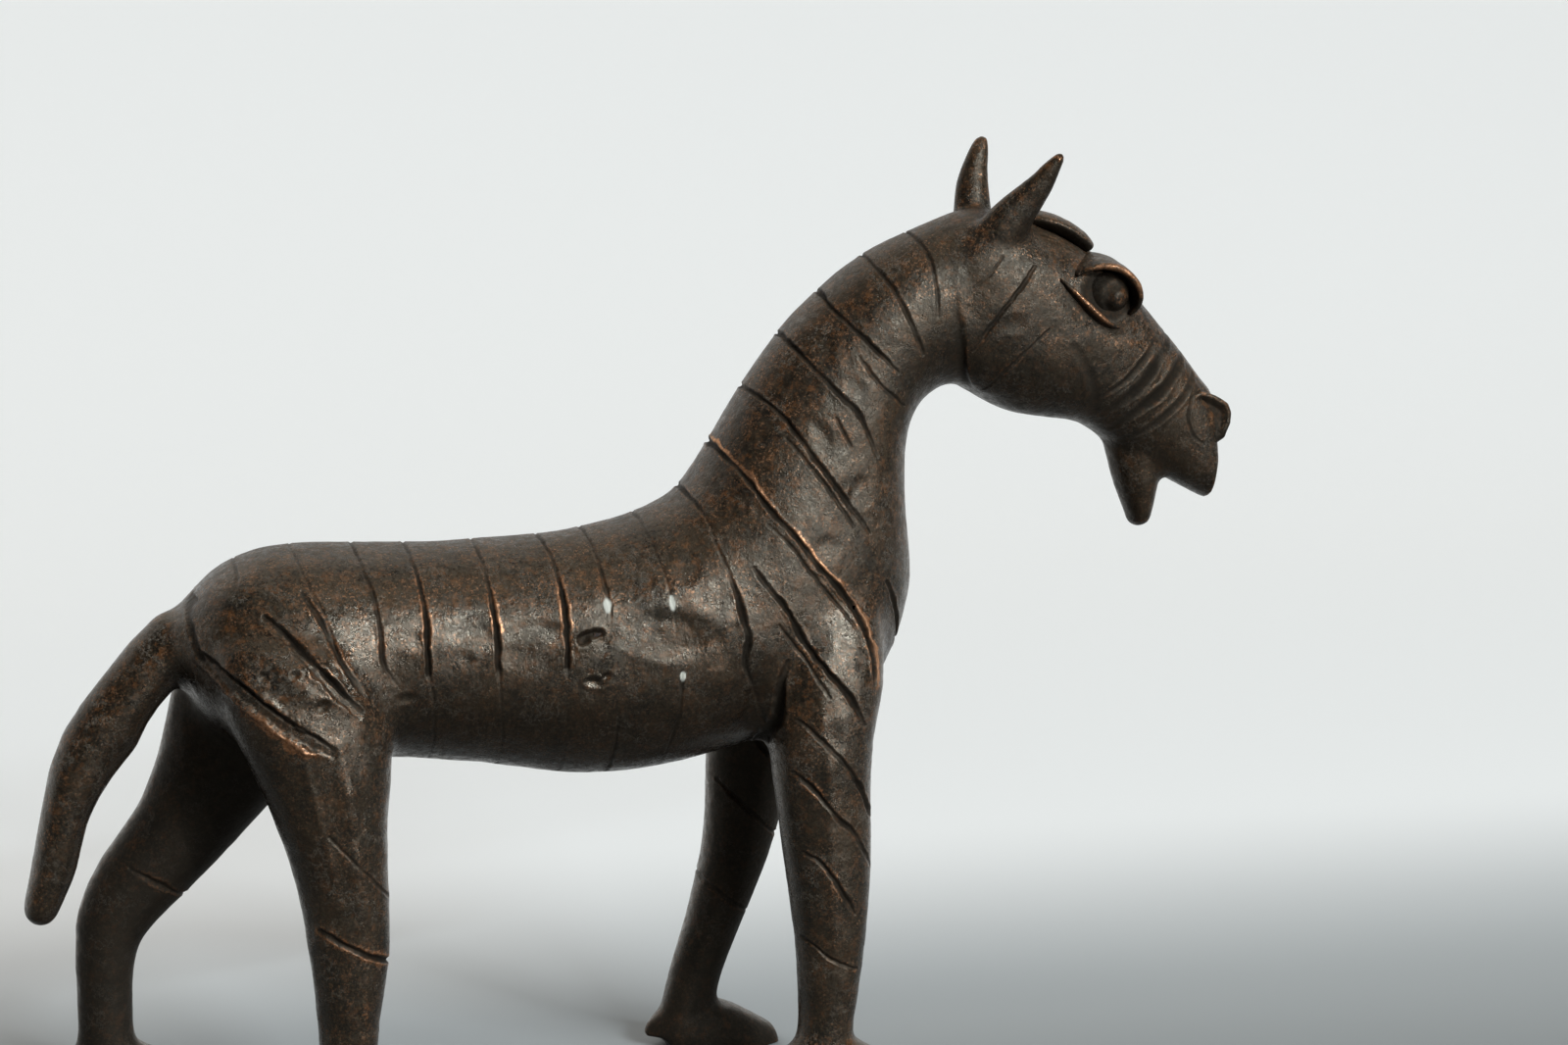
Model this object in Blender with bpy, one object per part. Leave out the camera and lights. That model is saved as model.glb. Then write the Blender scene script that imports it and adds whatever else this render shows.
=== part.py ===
"""Standing bronze horse statuette, built from the members a lost-wax founder forms and joins.

Run with: blender --background --python part.py

Frame: metres, +X towards the nose, +Y to the horse's left, +Z up. The origin lies on the
ground under the middle of the bounding box. All sizes below are in millimetres.

The barrel is cast hollow round a clay core that four square iron pins hold in place. Neck,
head, legs, hooves, tail, ears, forelock, jaw, eyelids, eyeballs and nostrils are solid
members. Each is scribed to the surface it sits on, and the larger ones have a spigot.
"""

import math
from collections import namedtuple

import bmesh
import bpy
from mathutils import Vector

MM = 0.001

# Joints between members.
JOINT_GAP = 0.3
SPIGOT_CLEARANCE = 0.15
SPIGOT_SIDES = 16
# The exact solver leaves these three open where several cuts meet, so theirs is the manifold one.
EXACT_FAILS = ("front_leg_right", "ear_right", "lower_jaw")

# Barrel.
WALL = 4.5
BARREL_SEGMENTS = 28
BARREL_SQUARENESS = 2.15
NECK_SQUARENESS = 2.1
CORE_SEGMENTS = 20
# How far the neck's spigot reaches towards the rib behind the barrel's mouth.
NECK_SPIGOT_REACH = 0.5
PIN_SIDE = 2.0
PIN_LENGTH = 9.0
PIN_HEAD_DEPTH = 0.8
# Each core pin: its x and z, and how far out the flank is there.
PIN_SPOTS = {"front": (-9.5, 68.5, 15.7), "rear": (-29.5, 67.0, 14.95)}
BORE_OVERRUN = 2.0

# Limbs. The four legs stand in a slow walk, so each pair has its own stance.
LEG_SEGMENTS = 18
HOOF_SEGMENTS = 14
GROUND_DEPTH = 20.0
SIDES = {"right": -1, "left": 1}

# Face.
HEAD_SEGMENTS = 24
HEAD_SQUARENESS = 2.5
EYE_CENTRE = (69.5, 8.9, 115.2)
EYE_OUTWARD = (0.10, 0.97, 0.16)
LID_THICKNESS = 1.5
LID_DEPTH = 4.2
EYEBALL_RADIUS = 3.1
PUPIL_RADIUS = 1.1
NOSTRIL_CENTRE = (86.8, 5.0, 96.3)
NOSTRIL_OUTWARD = (0.30, 0.95, 0.05)
NOSTRIL_THICKNESS = 1.3
NOSTRIL_DEPTH = 2.6

# One section through a member: upper (or front) edge and lower (or back) edge as (x, z),
# the height of its centre plane above the middle of the horse, and its half width in y.
Rib = namedtuple("Rib", "upper lower y half_width")

# A round spigot on one member that runs from start into the member it joins.
Spigot = namedtuple("Spigot", "start direction depth radius")
HEAD_SPIGOT = Spigot((47.4, 0, 116.5), (-1, 0, -0.25), 7.0, 4.0)
JAW_SPIGOT = Spigot((75.5, 0, 91.5), (-0.1, 0, 1), 5.5, 1.6)
FORELOCK_SPIGOT = Spigot((61.0, 0, 126.0), (-0.4, 0, -1), 4.0, 1.2)
TAIL_SPIGOT = Spigot((-69.0, 0, 68.5), (1, 0, 0.2), 2.2, 2.4)
LEG_SPIGOTS = {
    "front": Spigot((25.5, 13.0, 61.0), (0, -1, 0), 2.1, 2.5),
    "hind": Spigot((-51.5, 14.5, 66.0), (0, -1, 0), 2.1, 2.5),
}
EAR_SPIGOT_DEPTH = 4.5
EAR_SPIGOT_RADIUS = 1.4

BARREL_RIBS = [
    Rib((-67.0, 73.5), (-68.0, 64.0), 0, 7.5),
    Rib((-63.0, 78.5), (-64.5, 57.0), 0, 12.5),
    Rib((-57.0, 81.2), (-57.5, 52.4), 0, 15.0),
    Rib((-49.5, 82.0), (-49.0, 50.2), 0, 15.8),
    Rib((-38.5, 81.5), (-38.0, 50.2), 0, 15.3),
    Rib((-25.5, 81.6), (-24.0, 48.5), 0, 15.3),
    Rib((-12.0, 82.3), (-9.5, 46.2), 0, 16.0),
    Rib((-2.0, 84.0), (3.0, 46.8), 0, 16.4),
    Rib((4.9, 87.2), (16.1, 50.0), 0, 16.2),
]
# The cavity runs on past the barrel's front face, so that its mouth is open.
CAVITY_MOUTH = Rib((12.5, 89.0), (23.5, 51.0), 0, 16.2)
NECK_RIBS = [
    Rib((5.2, 87.5), (16.4, 50.0), 0, 16.2),
    Rib((8.8, 92.4), (29.5, 51.5), 0, 15.6),
    Rib((11.7, 97.8), (37.5, 62.0), 0, 14.6),
    Rib((16.0, 104.7), (40.5, 73.0), 0, 12.8),
    Rib((21.9, 112.3), (39.7, 83.0), 0, 11.6),
    Rib((28.5, 118.2), (39.1, 92.0), 0, 10.8),
    Rib((36.0, 123.2), (41.5, 99.6), 0, 10.2),
    Rib((47.1, 127.6), (47.1, 102.4), 0, 9.8),
]
HEAD_RIBS = [
    Rib((47.4, 127.7), (47.4, 102.3), 0, 10.0),
    Rib((53.0, 128.0), (51.0, 100.0), 0, 10.7),
    Rib((60.0, 126.0), (56.0, 97.5), 0, 10.6),
    Rib((67.2, 122.2), (61.5, 96.6), 0, 10.2),
    Rib((74.0, 116.8), (67.0, 95.8), 0, 8.9),
    Rib((80.2, 109.3), (71.7, 92.6), 0, 7.4),
    Rib((85.8, 102.4), (76.5, 89.6), 0, 6.3),
    Rib((88.4, 98.8), (81.1, 86.8), 0, 5.9),
    Rib((88.3, 93.0), (87.2, 83.6), 0, 5.4),
]
TAIL_RIBS = [
    Rib((-62.0, 74.4), (-63.5, 65.6), 0, 4.0),
    Rib((-70.0, 72.6), (-71.3, 59.4), 0, 4.7),
    Rib((-78.1, 64.0), (-74.3, 54.0), 0, 4.5),
    Rib((-84.1, 55.8), (-78.1, 49.2), 0, 4.4),
    Rib((-87.1, 46.0), (-81.3, 43.8), 0, 4.0),
    Rib((-88.9, 37.0), (-83.4, 36.4), 0, 3.6),
    Rib((-90.2, 31.0), (-86.3, 29.8), 0, 2.9),
]
TAIL_TIP = 1.8
JAW_RIBS = [
    Rib((81.1, 94.0), (70.1, 97.0), 0, 5.0),
    Rib((80.5, 89.5), (71.9, 91.0), 0, 4.6),
    Rib((79.9, 85.2), (73.5, 85.4), 0, 4.0),
    Rib((79.1, 81.6), (75.2, 80.8), 0, 3.0),
]
JAW_TIP = 1.8
FORELOCK_RIBS = [
    Rib((55.0, 128.9), (55.0, 124.8), 0, 3.4),
    Rib((60.0, 128.2), (58.7, 123.6), 0, 5.2),
    Rib((66.1, 125.6), (64.1, 121.0), 0, 5.8),
    Rib((69.3, 123.1), (67.0, 119.8), 0, 4.8),
]
FORELOCK_TIP = 0.9

# Legs on the right side have their y mirrored by SIDES.
FRONT_LEG_RIBS = {
    "right": [
        Rib((34.0, 70.0), (18.0, 72.0), 9.0, 6.0),
        Rib((33.7, 60.0), (16.9, 61.5), 10.6, 7.4),
        Rib((31.7, 51.0), (16.1, 52.0), 11.6, 7.4),
        Rib((31.4, 40.0), (17.4, 40.0), 12.0, 6.7),
        Rib((31.2, 29.5), (19.0, 29.0), 12.2, 6.0),
        Rib((30.3, 19.5), (20.1, 19.0), 12.4, 5.2),
        Rib((28.9, 9.0), (20.3, 9.0), 12.4, 4.6),
        Rib((28.3, 3.5), (20.1, 3.5), 12.4, 4.4),
    ],
    "left": [
        Rib((33.5, 68.0), (17.5, 70.0), 9.0, 6.0),
        Rib((30.0, 60.0), (14.5, 60.0), 10.6, 7.2),
        Rib((26.9, 50.0), (12.5, 49.0), 11.6, 7.0),
        Rib((24.4, 38.0), (12.2, 36.0), 12.0, 6.4),
        Rib((21.3, 27.0), (10.9, 26.0), 12.2, 5.8),
        Rib((16.9, 16.5), (7.9, 15.5), 12.4, 5.0),
        Rib((14.1, 9.0), (5.7, 7.8), 12.4, 4.5),
        Rib((13.5, 3.5), (5.3, 3.5), 12.4, 4.4),
    ],
}
HIND_LEG_RIBS = {
    "right": [
        Rib((-47.0, 74.5), (-60.5, 75.0), 4.6, 4.0),
        Rib((-41.0, 67.0), (-64.5, 69.5), 10.0, 8.2),
        Rib((-39.1, 55.0), (-62.0, 57.5), 11.4, 8.4),
        Rib((-39.9, 44.0), (-56.7, 45.0), 12.2, 7.4),
        Rib((-40.1, 34.5), (-53.3, 34.5), 12.4, 6.3),
        Rib((-40.1, 24.5), (-51.9, 25.0), 12.6, 5.6),
        Rib((-41.9, 13.0), (-50.7, 13.0), 12.6, 4.8),
        Rib((-42.3, 3.5), (-50.7, 3.5), 12.6, 4.5),
    ],
    "left": [
        Rib((-47.5, 73.5), (-61.0, 75.0), 4.6, 4.0),
        Rib((-43.0, 63.0), (-66.3, 67.0), 10.0, 8.0),
        Rib((-48.0, 49.0), (-69.3, 53.0), 11.4, 8.4),
        Rib((-57.0, 38.0), (-72.9, 42.5), 12.2, 6.8),
        Rib((-67.7, 27.6), (-78.7, 34.4), 12.4, 6.0),
        Rib((-73.3, 21.5), (-82.5, 25.5), 12.6, 5.3),
        Rib((-74.3, 13.0), (-82.7, 13.0), 12.6, 4.7),
        Rib((-74.1, 3.5), (-82.5, 3.5), 12.6, 4.5),
    ],
}

# A hoof is one shape, placed by the middle of the ankle above it: (x offset, height, half width).
HOOF_PROFILE = [
    (-7.6, 4.0, 1.6),
    (-6.0, 5.6, 3.2),
    (-3.0, 7.4, 5.0),
    (1.5, 7.9, 5.8),
    (5.4, 6.2, 5.9),
    (8.8, 4.3, 5.4),
    (11.4, 2.6, 3.9),
]
HEEL_LIFT = 1.6
ANKLE_X = {
    ("front", "right"): 24.3,
    ("front", "left"): 10.9,
    ("hind", "right"): -46.5,
    ("hind", "left"): -78.1,
}
ANKLE_Y = 12.5
ANKLE_HEIGHT = 6.2
SHANK_SPIGOT_RADIUS = 2.2
SHANK_SPIGOT_DEPTH = 3.6

# Each ear: centre of the root and tip. Its sections give the share of the way to the tip
# and the scale of the root's half length and half width there.
EARS = {
    "right": ((51.0, -6.9, 124.2), (60.7, -10.6, 136.6)),
    "left": ((52.9, 6.9, 125.2), (54.9, 9.4, 138.2)),
}
EAR_SECTIONS = ((0.0, 1.15), (0.3, 0.92), (0.65, 0.60), (0.94, 0.32))
EAR_HALF_LENGTH = 3.9
EAR_HALF_WIDTH = 2.9

BRONZE = ("bronze", (0.060, 0.042, 0.030), 0.38, 0.9)
WORN_BRONZE = ("worn_bronze", (0.110, 0.065, 0.038), 0.34, 0.9)
CLAY = ("fired_clay", (0.220, 0.105, 0.060), 0.95, 0.0)
IRON = ("iron", (0.050, 0.045, 0.042), 0.60, 0.9)


def clear_scene():
    for obj in list(bpy.data.objects):
        bpy.data.objects.remove(obj)


def material(spec):
    """The shared Principled material of that (name, colour, roughness, metallic)."""
    name, colour, roughness, metallic = spec
    made = bpy.data.materials.get(name)
    if made:
        return made
    made = bpy.data.materials.new(name)
    made.use_nodes = True
    shader = made.node_tree.nodes["Principled BSDF"]
    shader.inputs["Base Color"].default_value = (*colour, 1.0)
    shader.inputs["Roughness"].default_value = roughness
    shader.inputs["Metallic"].default_value = metallic
    return made


def add_object(name, bm, spec):
    """Links the bmesh as a smooth-shaded object with outward normals."""
    bmesh.ops.recalc_face_normals(bm, faces=bm.faces)
    mesh = bpy.data.meshes.new(name)
    bm.to_mesh(mesh)
    bm.free()
    mesh.shade_smooth()
    mesh.set_sharp_from_angle(angle=math.radians(50))
    mesh.materials.append(material(spec))
    obj = bpy.data.objects.new(name, mesh)
    bpy.context.scene.collection.objects.link(obj)
    return obj


def as_cutter(obj):
    obj.hide_render = True
    obj.display_type = "WIRE"
    return obj


def boolean(obj, other, operation):
    modifier = obj.modifiers.new(f"{operation.lower()} {other.name}", "BOOLEAN")
    modifier.operation = operation
    modifier.object = other
    modifier.solver = "MANIFOLD" if obj.name in EXACT_FAILS else "EXACT"


def catmull_rom(a, b, c, d, t):
    """The spline's value at t between b and c."""
    return 0.5 * (
        2 * b + (c - a) * t + (2 * a - 5 * b + 4 * c - d) * t**2
        + (3 * b - a - 3 * c + d) * t**3
    )


def refine(sections, steps):
    """Sections along a smooth spline through the given ones. A section is a tuple of vectors."""
    last = len(sections) - 1
    fine = []
    for i in range(last):
        around = [sections[max(0, min(last, i + k))] for k in (-1, 0, 1, 2)]
        for step in range(steps):
            fine.append(tuple(catmull_rom(*four, step / steps) for four in zip(*around)))
    return fine + [sections[-1]]


def dome(section, direction, height, rings=3):
    """Sections that round an end off, from the largest to the smallest."""
    made = []
    for k in range(1, rings + 1):
        angle = 0.5 * math.pi * k / (rings + 0.4)
        centre, up, side = section
        made.append((centre + direction * height * math.sin(angle),
                     up * math.cos(angle), side * math.cos(angle)))
    return made


def ring_points(section, segments, squareness):
    """Points round a superellipse. Squareness 2 is an ellipse and higher is boxier."""
    centre, up, side = section
    points = []
    for k in range(segments):
        angle = 2 * math.pi * k / segments
        c, s = math.cos(angle), math.sin(angle)
        along_up = math.copysign(abs(c) ** (2 / squareness), c)
        along_side = math.copysign(abs(s) ** (2 / squareness), s)
        points.append((centre + up * along_up + side * along_side) * MM)
    return points


def loft(name, sections, spec, segments=16, squareness=2.0, steps=2, domes=(0, 0)):
    """A closed solid through the sections (centre, half height vector, half width vector)."""
    fine = refine(sections, steps)
    if domes[0]:
        back = (fine[0][0] - fine[1][0]).normalized()
        fine = dome(fine[0], back, domes[0])[::-1] + fine
    if domes[1]:
        ahead = (fine[-1][0] - fine[-2][0]).normalized()
        fine = fine + dome(fine[-1], ahead, domes[1])
    bm = bmesh.new()
    rings = [[bm.verts.new(p) for p in ring_points(s, segments, squareness)] for s in fine]
    for one, two in zip(rings, rings[1:]):
        for k in range(segments):
            n = (k + 1) % segments
            bm.faces.new((one[k], one[n], two[n], two[k]))
    bm.faces.new(rings[0])
    bm.faces.new(rings[-1])
    return add_object(name, bm, spec)


def rib_section(rib, grow=0.0, flip=1):
    """The section (centre, half height, half width) of a rib, larger all round by grow."""
    upper = Vector((rib.upper[0], 0, rib.upper[1]))
    lower = Vector((rib.lower[0], 0, rib.lower[1]))
    half = (upper - lower) / 2
    centre = (upper + lower) / 2 + Vector((0, rib.y * flip, 0))
    return centre, half + half.normalized() * grow, Vector((0, rib.half_width + grow, 0))


def rib_loft(name, ribs, spec, grow=0.0, flip=1, **options):
    return loft(name, [rib_section(rib, grow, flip) for rib in ribs], spec, **options)


def box(name, low, high, spec=BRONZE):
    bm = bmesh.new()
    bmesh.ops.create_cube(bm, size=1.0)
    for vertex in bm.verts:
        vertex.co = Vector(
            [(a if c < 0 else b) * MM for c, a, b in zip(vertex.co, low, high)]
        )
    return add_object(name, bm, spec)


def rod(name, start, end, radius, spec=BRONZE):
    """A straight round rod between two points in mm."""
    axis = (end - start).normalized()
    up = axis.orthogonal().normalized() * radius
    side = axis.cross(up)
    return loft(name, [(start, up, side), (end, up, side)], spec,
                segments=SPIGOT_SIDES, steps=1)


def spigot(child, host, joint, sign=1):
    """Joins child to host: a round spigot on child runs into a socket in host. A sign of -1
    mirrors the joint in the horse's middle plane."""
    mirrored = Vector((1, sign, 1))
    start = Vector(joint.start) * mirrored
    axis = (Vector(joint.direction) * mirrored).normalized()
    radius = joint.radius
    root = start - axis * radius
    stem = as_cutter(rod(f"{child.name}_spigot", root, start + axis * joint.depth, radius))
    bore = as_cutter(rod(f"{child.name}_socket", root - axis * radius,
                         start + axis * (joint.depth + JOINT_GAP), radius + SPIGOT_CLEARANCE))
    boolean(host, bore, "DIFFERENCE")
    boolean(child, stem, "UNION")


def seat(child, envelopes):
    """Scribes child to the surfaces that it rests on, with the joint gap between them."""
    for envelope in envelopes:
        boolean(child, envelope, "DIFFERENCE")


def on_side(point, side):
    """A point or direction given for the left side, moved to the named side."""
    return Vector((point[0], point[1] * SIDES[side], point[2]))


def build_barrel():
    """The hollow barrel, open at the front, and the core inside it."""
    barrel = rib_loft("barrel", BARREL_RIBS, BRONZE, segments=BARREL_SEGMENTS,
                      squareness=BARREL_SQUARENESS, domes=(2.6, 0))
    inner = BARREL_RIBS[1:]
    cavity = rib_loft("barrel_cavity", inner + [CAVITY_MOUTH], BRONZE, grow=-WALL,
                      segments=CORE_SEGMENTS, domes=(1.0, 0))
    boolean(barrel, as_cutter(cavity), "DIFFERENCE")
    core = rib_loft("clay_core", inner[:-1], CLAY, grow=-WALL - JOINT_GAP,
                    segments=CORE_SEGMENTS, domes=(0.7, 0))
    return barrel, core


def build_core_pins(barrel, core):
    """Square iron pins through both flanks into the core. Their heads sit in shallow pits."""
    half, hole = PIN_SIDE / 2, PIN_SIDE / 2 + SPIGOT_CLEARANCE
    for side, sign in SIDES.items():
        for label, (x, z, flank) in PIN_SPOTS.items():
            outer = flank - PIN_HEAD_DEPTH
            inner = outer - PIN_LENGTH
            ends = sorted((sign * outer, sign * inner))
            box(f"core_pin_{label}_{side}", (x - half, ends[0], z - half),
                (x + half, ends[1], z + half), IRON)
            bore = sorted((sign * (flank + BORE_OVERRUN), sign * (inner - JOINT_GAP)))
            cutter = as_cutter(box(f"pin_hole_{label}_{side}", (x - hole, bore[0], z - hole),
                                   (x + hole, bore[1], z + hole)))
            boolean(barrel, cutter, "DIFFERENCE")
            boolean(core, cutter, "DIFFERENCE")


def build_neck():
    """Neck and chest in one, with an oval spigot that closes the barrel's mouth."""
    neck = rib_loft("neck_and_chest", NECK_RIBS, BRONZE, segments=BARREL_SEGMENTS,
                    squareness=NECK_SQUARENESS)
    ribs = [NECK_RIBS[1], BARREL_RIBS[-1], BARREL_RIBS[-2]]
    root, mouth, behind = [rib_section(rib, -WALL - 2 * JOINT_GAP) for rib in ribs]
    end = tuple(a.lerp(b, NECK_SPIGOT_REACH) for a, b in zip(mouth, behind))
    plug = loft("neck_spigot", [root, mouth, end], BRONZE, segments=CORE_SEGMENTS)
    boolean(neck, as_cutter(plug), "UNION")
    return neck


def build_head(neck):
    head = rib_loft("head", HEAD_RIBS, BRONZE, segments=HEAD_SEGMENTS,
                    squareness=HEAD_SQUARENESS, domes=(0, 0.8))
    spigot(head, neck, HEAD_SPIGOT)
    return head


def build_jaw(head, head_envelope):
    jaw = rib_loft("lower_jaw", JAW_RIBS, WORN_BRONZE, segments=14, domes=(0, JAW_TIP))
    seat(jaw, [head_envelope])
    spigot(jaw, head, JAW_SPIGOT)


def build_forelock(head, head_envelope):
    forelock = rib_loft("forelock", FORELOCK_RIBS, BRONZE, segments=14, squareness=2.4,
                        domes=(1.5, FORELOCK_TIP))
    seat(forelock, [head_envelope])
    spigot(forelock, head, FORELOCK_SPIGOT)


def build_ears(head, head_envelope):
    """Flattened cones with rounded tips, pointing up and forward."""
    for side, (root, tip) in EARS.items():
        root, tip = Vector(root), Vector(tip)
        axis = (tip - root).normalized()
        across = Vector((0, 1, 0)).cross(axis).normalized()
        outward = axis.cross(across)
        sections = []
        for share, scale in EAR_SECTIONS:
            sections.append((root.lerp(tip, share), across * EAR_HALF_LENGTH * scale,
                             outward * EAR_HALF_WIDTH * scale))
        ear = loft(f"ear_{side}", sections, WORN_BRONZE, segments=14, domes=(0, 0.9))
        seat(ear, [head_envelope])
        spigot(ear, head, Spigot(root + axis, -axis, EAR_SPIGOT_DEPTH, EAR_SPIGOT_RADIUS))


def face_axes(outward, side):
    """Forward, upward and outward axes of a feature on the named side of the head."""
    outward = on_side(outward, side).normalized()
    upward = (Vector((0, 0, 1)) - outward * outward.z).normalized()
    forward = (Vector((1, 0, 0)) - outward * outward.x - upward * upward.x).normalized()
    return forward, upward, outward


def ridge(name, centre, axes, path, thickness, depth, spec):
    """A raised bar along a path of (forward, upward) offsets, standing out from the head."""
    forward, upward, outward = axes
    points = [centre + forward * a + upward * b for a, b in path]
    sections = []
    for i, point in enumerate(points):
        along = points[min(i + 1, len(points) - 1)] - points[max(i - 1, 0)]
        normal = outward.cross(along).normalized()
        sections.append((point, normal * thickness / 2, outward * depth / 2))
    return loft(name, sections, spec, segments=10, squareness=2.6,
                domes=(thickness / 2, thickness / 2))


UPPER_LID_PATH = [(-8.0, 3.6), (-4.6, 5.3), (-0.3, 5.0), (3.2, 2.6), (4.2, -0.6), (3.2, -3.4)]
LOWER_LID_PATH = [(-7.5, 1.6), (-4.2, -1.9), (0.6, -5.4)]
NOSTRIL_PATH = [(-1.8, -2.4), (-2.6, 2.0), (-0.4, 2.6), (2.0, 1.6), (2.6, -0.6), (1.6, -3.2)]


def build_eyes(head_envelope):
    for side in SIDES:
        axes = face_axes(EYE_OUTWARD, side)
        outward = axes[2]
        centre = on_side(EYE_CENTRE, side)
        upper = ridge(f"upper_eyelid_{side}", centre + outward, axes, UPPER_LID_PATH,
                      LID_THICKNESS, LID_DEPTH, WORN_BRONZE)
        lower = ridge(f"lower_eyelid_{side}", centre + outward * 0.6, axes, LOWER_LID_PATH,
                      LID_THICKNESS, LID_DEPTH, WORN_BRONZE)
        seat(upper, [head_envelope])
        seat(lower, [head_envelope])
        build_eyeball(f"eyeball_{side}", centre, axes, head_envelope)


def build_eyeball(name, centre, axes, head_envelope):
    """A low dome with a small raised pupil, turned about the eye's outward axis."""
    forward, upward, outward = axes
    profile = [(-3.0, 1.0), (0.0, 1.0), (1.0, 0.94), (1.8, 0.76), (2.3, 0.5), (2.45, 0.37),
               (2.95, 0.30), (3.2, 0.14)]
    sections = []
    for height, share in profile:
        radius = share * EYEBALL_RADIUS
        sections.append((centre + outward * height, upward * radius, forward * radius))
    ball = loft(name, sections, BRONZE, segments=14, steps=1)
    seat(ball, [head_envelope])


def build_nostrils(head_envelope):
    for side in SIDES:
        axes = face_axes(NOSTRIL_OUTWARD, side)
        centre = on_side(NOSTRIL_CENTRE, side) + axes[2] * 0.5
        wing = ridge(f"nostril_{side}", centre, axes, NOSTRIL_PATH, NOSTRIL_THICKNESS,
                     NOSTRIL_DEPTH, WORN_BRONZE)
        seat(wing, [head_envelope])


def build_leg(which, side, ribs, host, envelopes, ground):
    """One leg, seated on the body by a spigot, and the hoof under it."""
    sign = SIDES[side]
    leg = rib_loft(f"{which}_leg_{side}", ribs, BRONZE, flip=sign, segments=LEG_SEGMENTS,
                   squareness=2.2, domes=(2.0, 0))
    seat(leg, envelopes)
    floor = ANKLE_HEIGHT + JOINT_GAP
    ankle = as_cutter(box(f"ankle_plane_{which}_{side}", (-120, -40, -5), (120, 40, floor)))
    boolean(leg, ankle, "DIFFERENCE")
    spigot(leg, host, LEG_SPIGOTS[which], sign)
    build_hoof(which, side, leg, ground)


def build_hoof(which, side, leg, ground):
    """A boot-shaped pad with a raised heel, flat underneath and flat where the leg stands."""
    x0, y0 = ANKLE_X[which, side], ANKLE_Y * SIDES[side]
    sections = []
    for x, height, half_width in HOOF_PROFILE:
        sections.append((Vector((x0 + x, y0, 0)), Vector((0, 0, height)),
                         Vector((0, half_width, 0))))
    hoof = loft(f"hoof_{which}_{side}", sections, BRONZE, segments=HOOF_SEGMENTS,
                squareness=2.4, domes=(0.9, 1.4))
    boolean(hoof, ground, "DIFFERENCE")
    heel = as_cutter(box(f"heel_{which}_{side}", (x0 - 14, y0 - 8, -1),
                         (x0 - 4.8, y0 + 8, HEEL_LIFT)))
    boolean(hoof, heel, "DIFFERENCE")
    top = as_cutter(box(f"hoof_top_{which}_{side}", (x0 - 14, y0 - 8, ANKLE_HEIGHT),
                        (x0 + 14, y0 + 8, 20)))
    boolean(hoof, top, "DIFFERENCE")
    ankle = (x0, y0, ANKLE_HEIGHT + JOINT_GAP)
    spigot(leg, hoof, Spigot(ankle, (0, 0, -1), SHANK_SPIGOT_DEPTH, SHANK_SPIGOT_RADIUS))


def build_tail(barrel, envelopes):
    tail = rib_loft("tail", TAIL_RIBS, BRONZE, segments=18, domes=(0, TAIL_TIP))
    seat(tail, envelopes)
    spigot(tail, barrel, TAIL_SPIGOT)


def build_horse():
    clear_scene()
    barrel, core = build_barrel()
    build_core_pins(barrel, core)
    neck = build_neck()
    head = build_head(neck)

    around = dict(grow=JOINT_GAP)
    barrel_envelope = as_cutter(rib_loft("barrel_envelope", BARREL_RIBS, BRONZE,
                                         segments=BARREL_SEGMENTS,
                                         squareness=BARREL_SQUARENESS,
                                         domes=(2.9, 0.3), **around))
    neck_envelope = as_cutter(rib_loft("neck_envelope", NECK_RIBS, BRONZE,
                                       segments=BARREL_SEGMENTS, squareness=NECK_SQUARENESS,
                                       domes=(0.3, 0), **around))
    head_envelope = as_cutter(rib_loft("head_envelope", HEAD_RIBS, BRONZE,
                                       segments=HEAD_SEGMENTS, squareness=HEAD_SQUARENESS,
                                       domes=(0, 1.1), **around))
    ground = as_cutter(box("ground", (-120, -40, -GROUND_DEPTH), (120, 40, 0)))

    build_jaw(head, head_envelope)
    build_forelock(head, head_envelope)
    build_ears(head, head_envelope)
    build_eyes(head_envelope)
    build_nostrils(head_envelope)
    build_tail(barrel, [barrel_envelope])
    for side in SIDES:
        build_leg("front", side, FRONT_LEG_RIBS[side], neck,
                  [neck_envelope, barrel_envelope], ground)
        build_leg("hind", side, HIND_LEG_RIBS[side], barrel, [barrel_envelope], ground)


build_horse()
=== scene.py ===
"""Bronze horse statuette: the finished surface, its materials, light and camera.

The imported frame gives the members. Their outer surfaces are welded into one cast skin, which
is smoothed, scored and dented as wax would be, and then parted again into one closed piece
for each member. Sizes are in millimetres until a mesh is stored in metres.
"""

import math
from collections import namedtuple

import bmesh
import bpy
import numpy as np
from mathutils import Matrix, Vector
from mathutils.bvhtree import BVHTree

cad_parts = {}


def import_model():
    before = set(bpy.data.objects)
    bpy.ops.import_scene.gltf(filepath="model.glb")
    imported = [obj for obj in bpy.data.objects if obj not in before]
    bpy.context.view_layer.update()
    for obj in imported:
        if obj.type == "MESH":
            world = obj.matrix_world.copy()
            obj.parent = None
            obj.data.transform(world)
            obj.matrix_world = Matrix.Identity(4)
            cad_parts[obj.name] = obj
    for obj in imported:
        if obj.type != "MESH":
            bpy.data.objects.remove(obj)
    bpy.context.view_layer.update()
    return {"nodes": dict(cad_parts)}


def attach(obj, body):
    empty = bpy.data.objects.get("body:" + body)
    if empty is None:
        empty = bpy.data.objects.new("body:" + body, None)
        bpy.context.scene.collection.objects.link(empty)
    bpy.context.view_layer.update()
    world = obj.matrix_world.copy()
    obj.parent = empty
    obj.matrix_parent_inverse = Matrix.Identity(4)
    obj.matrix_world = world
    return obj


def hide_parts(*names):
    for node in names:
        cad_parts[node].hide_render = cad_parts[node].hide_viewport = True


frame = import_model()

MM = 0.001
BODY = "root"

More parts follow.
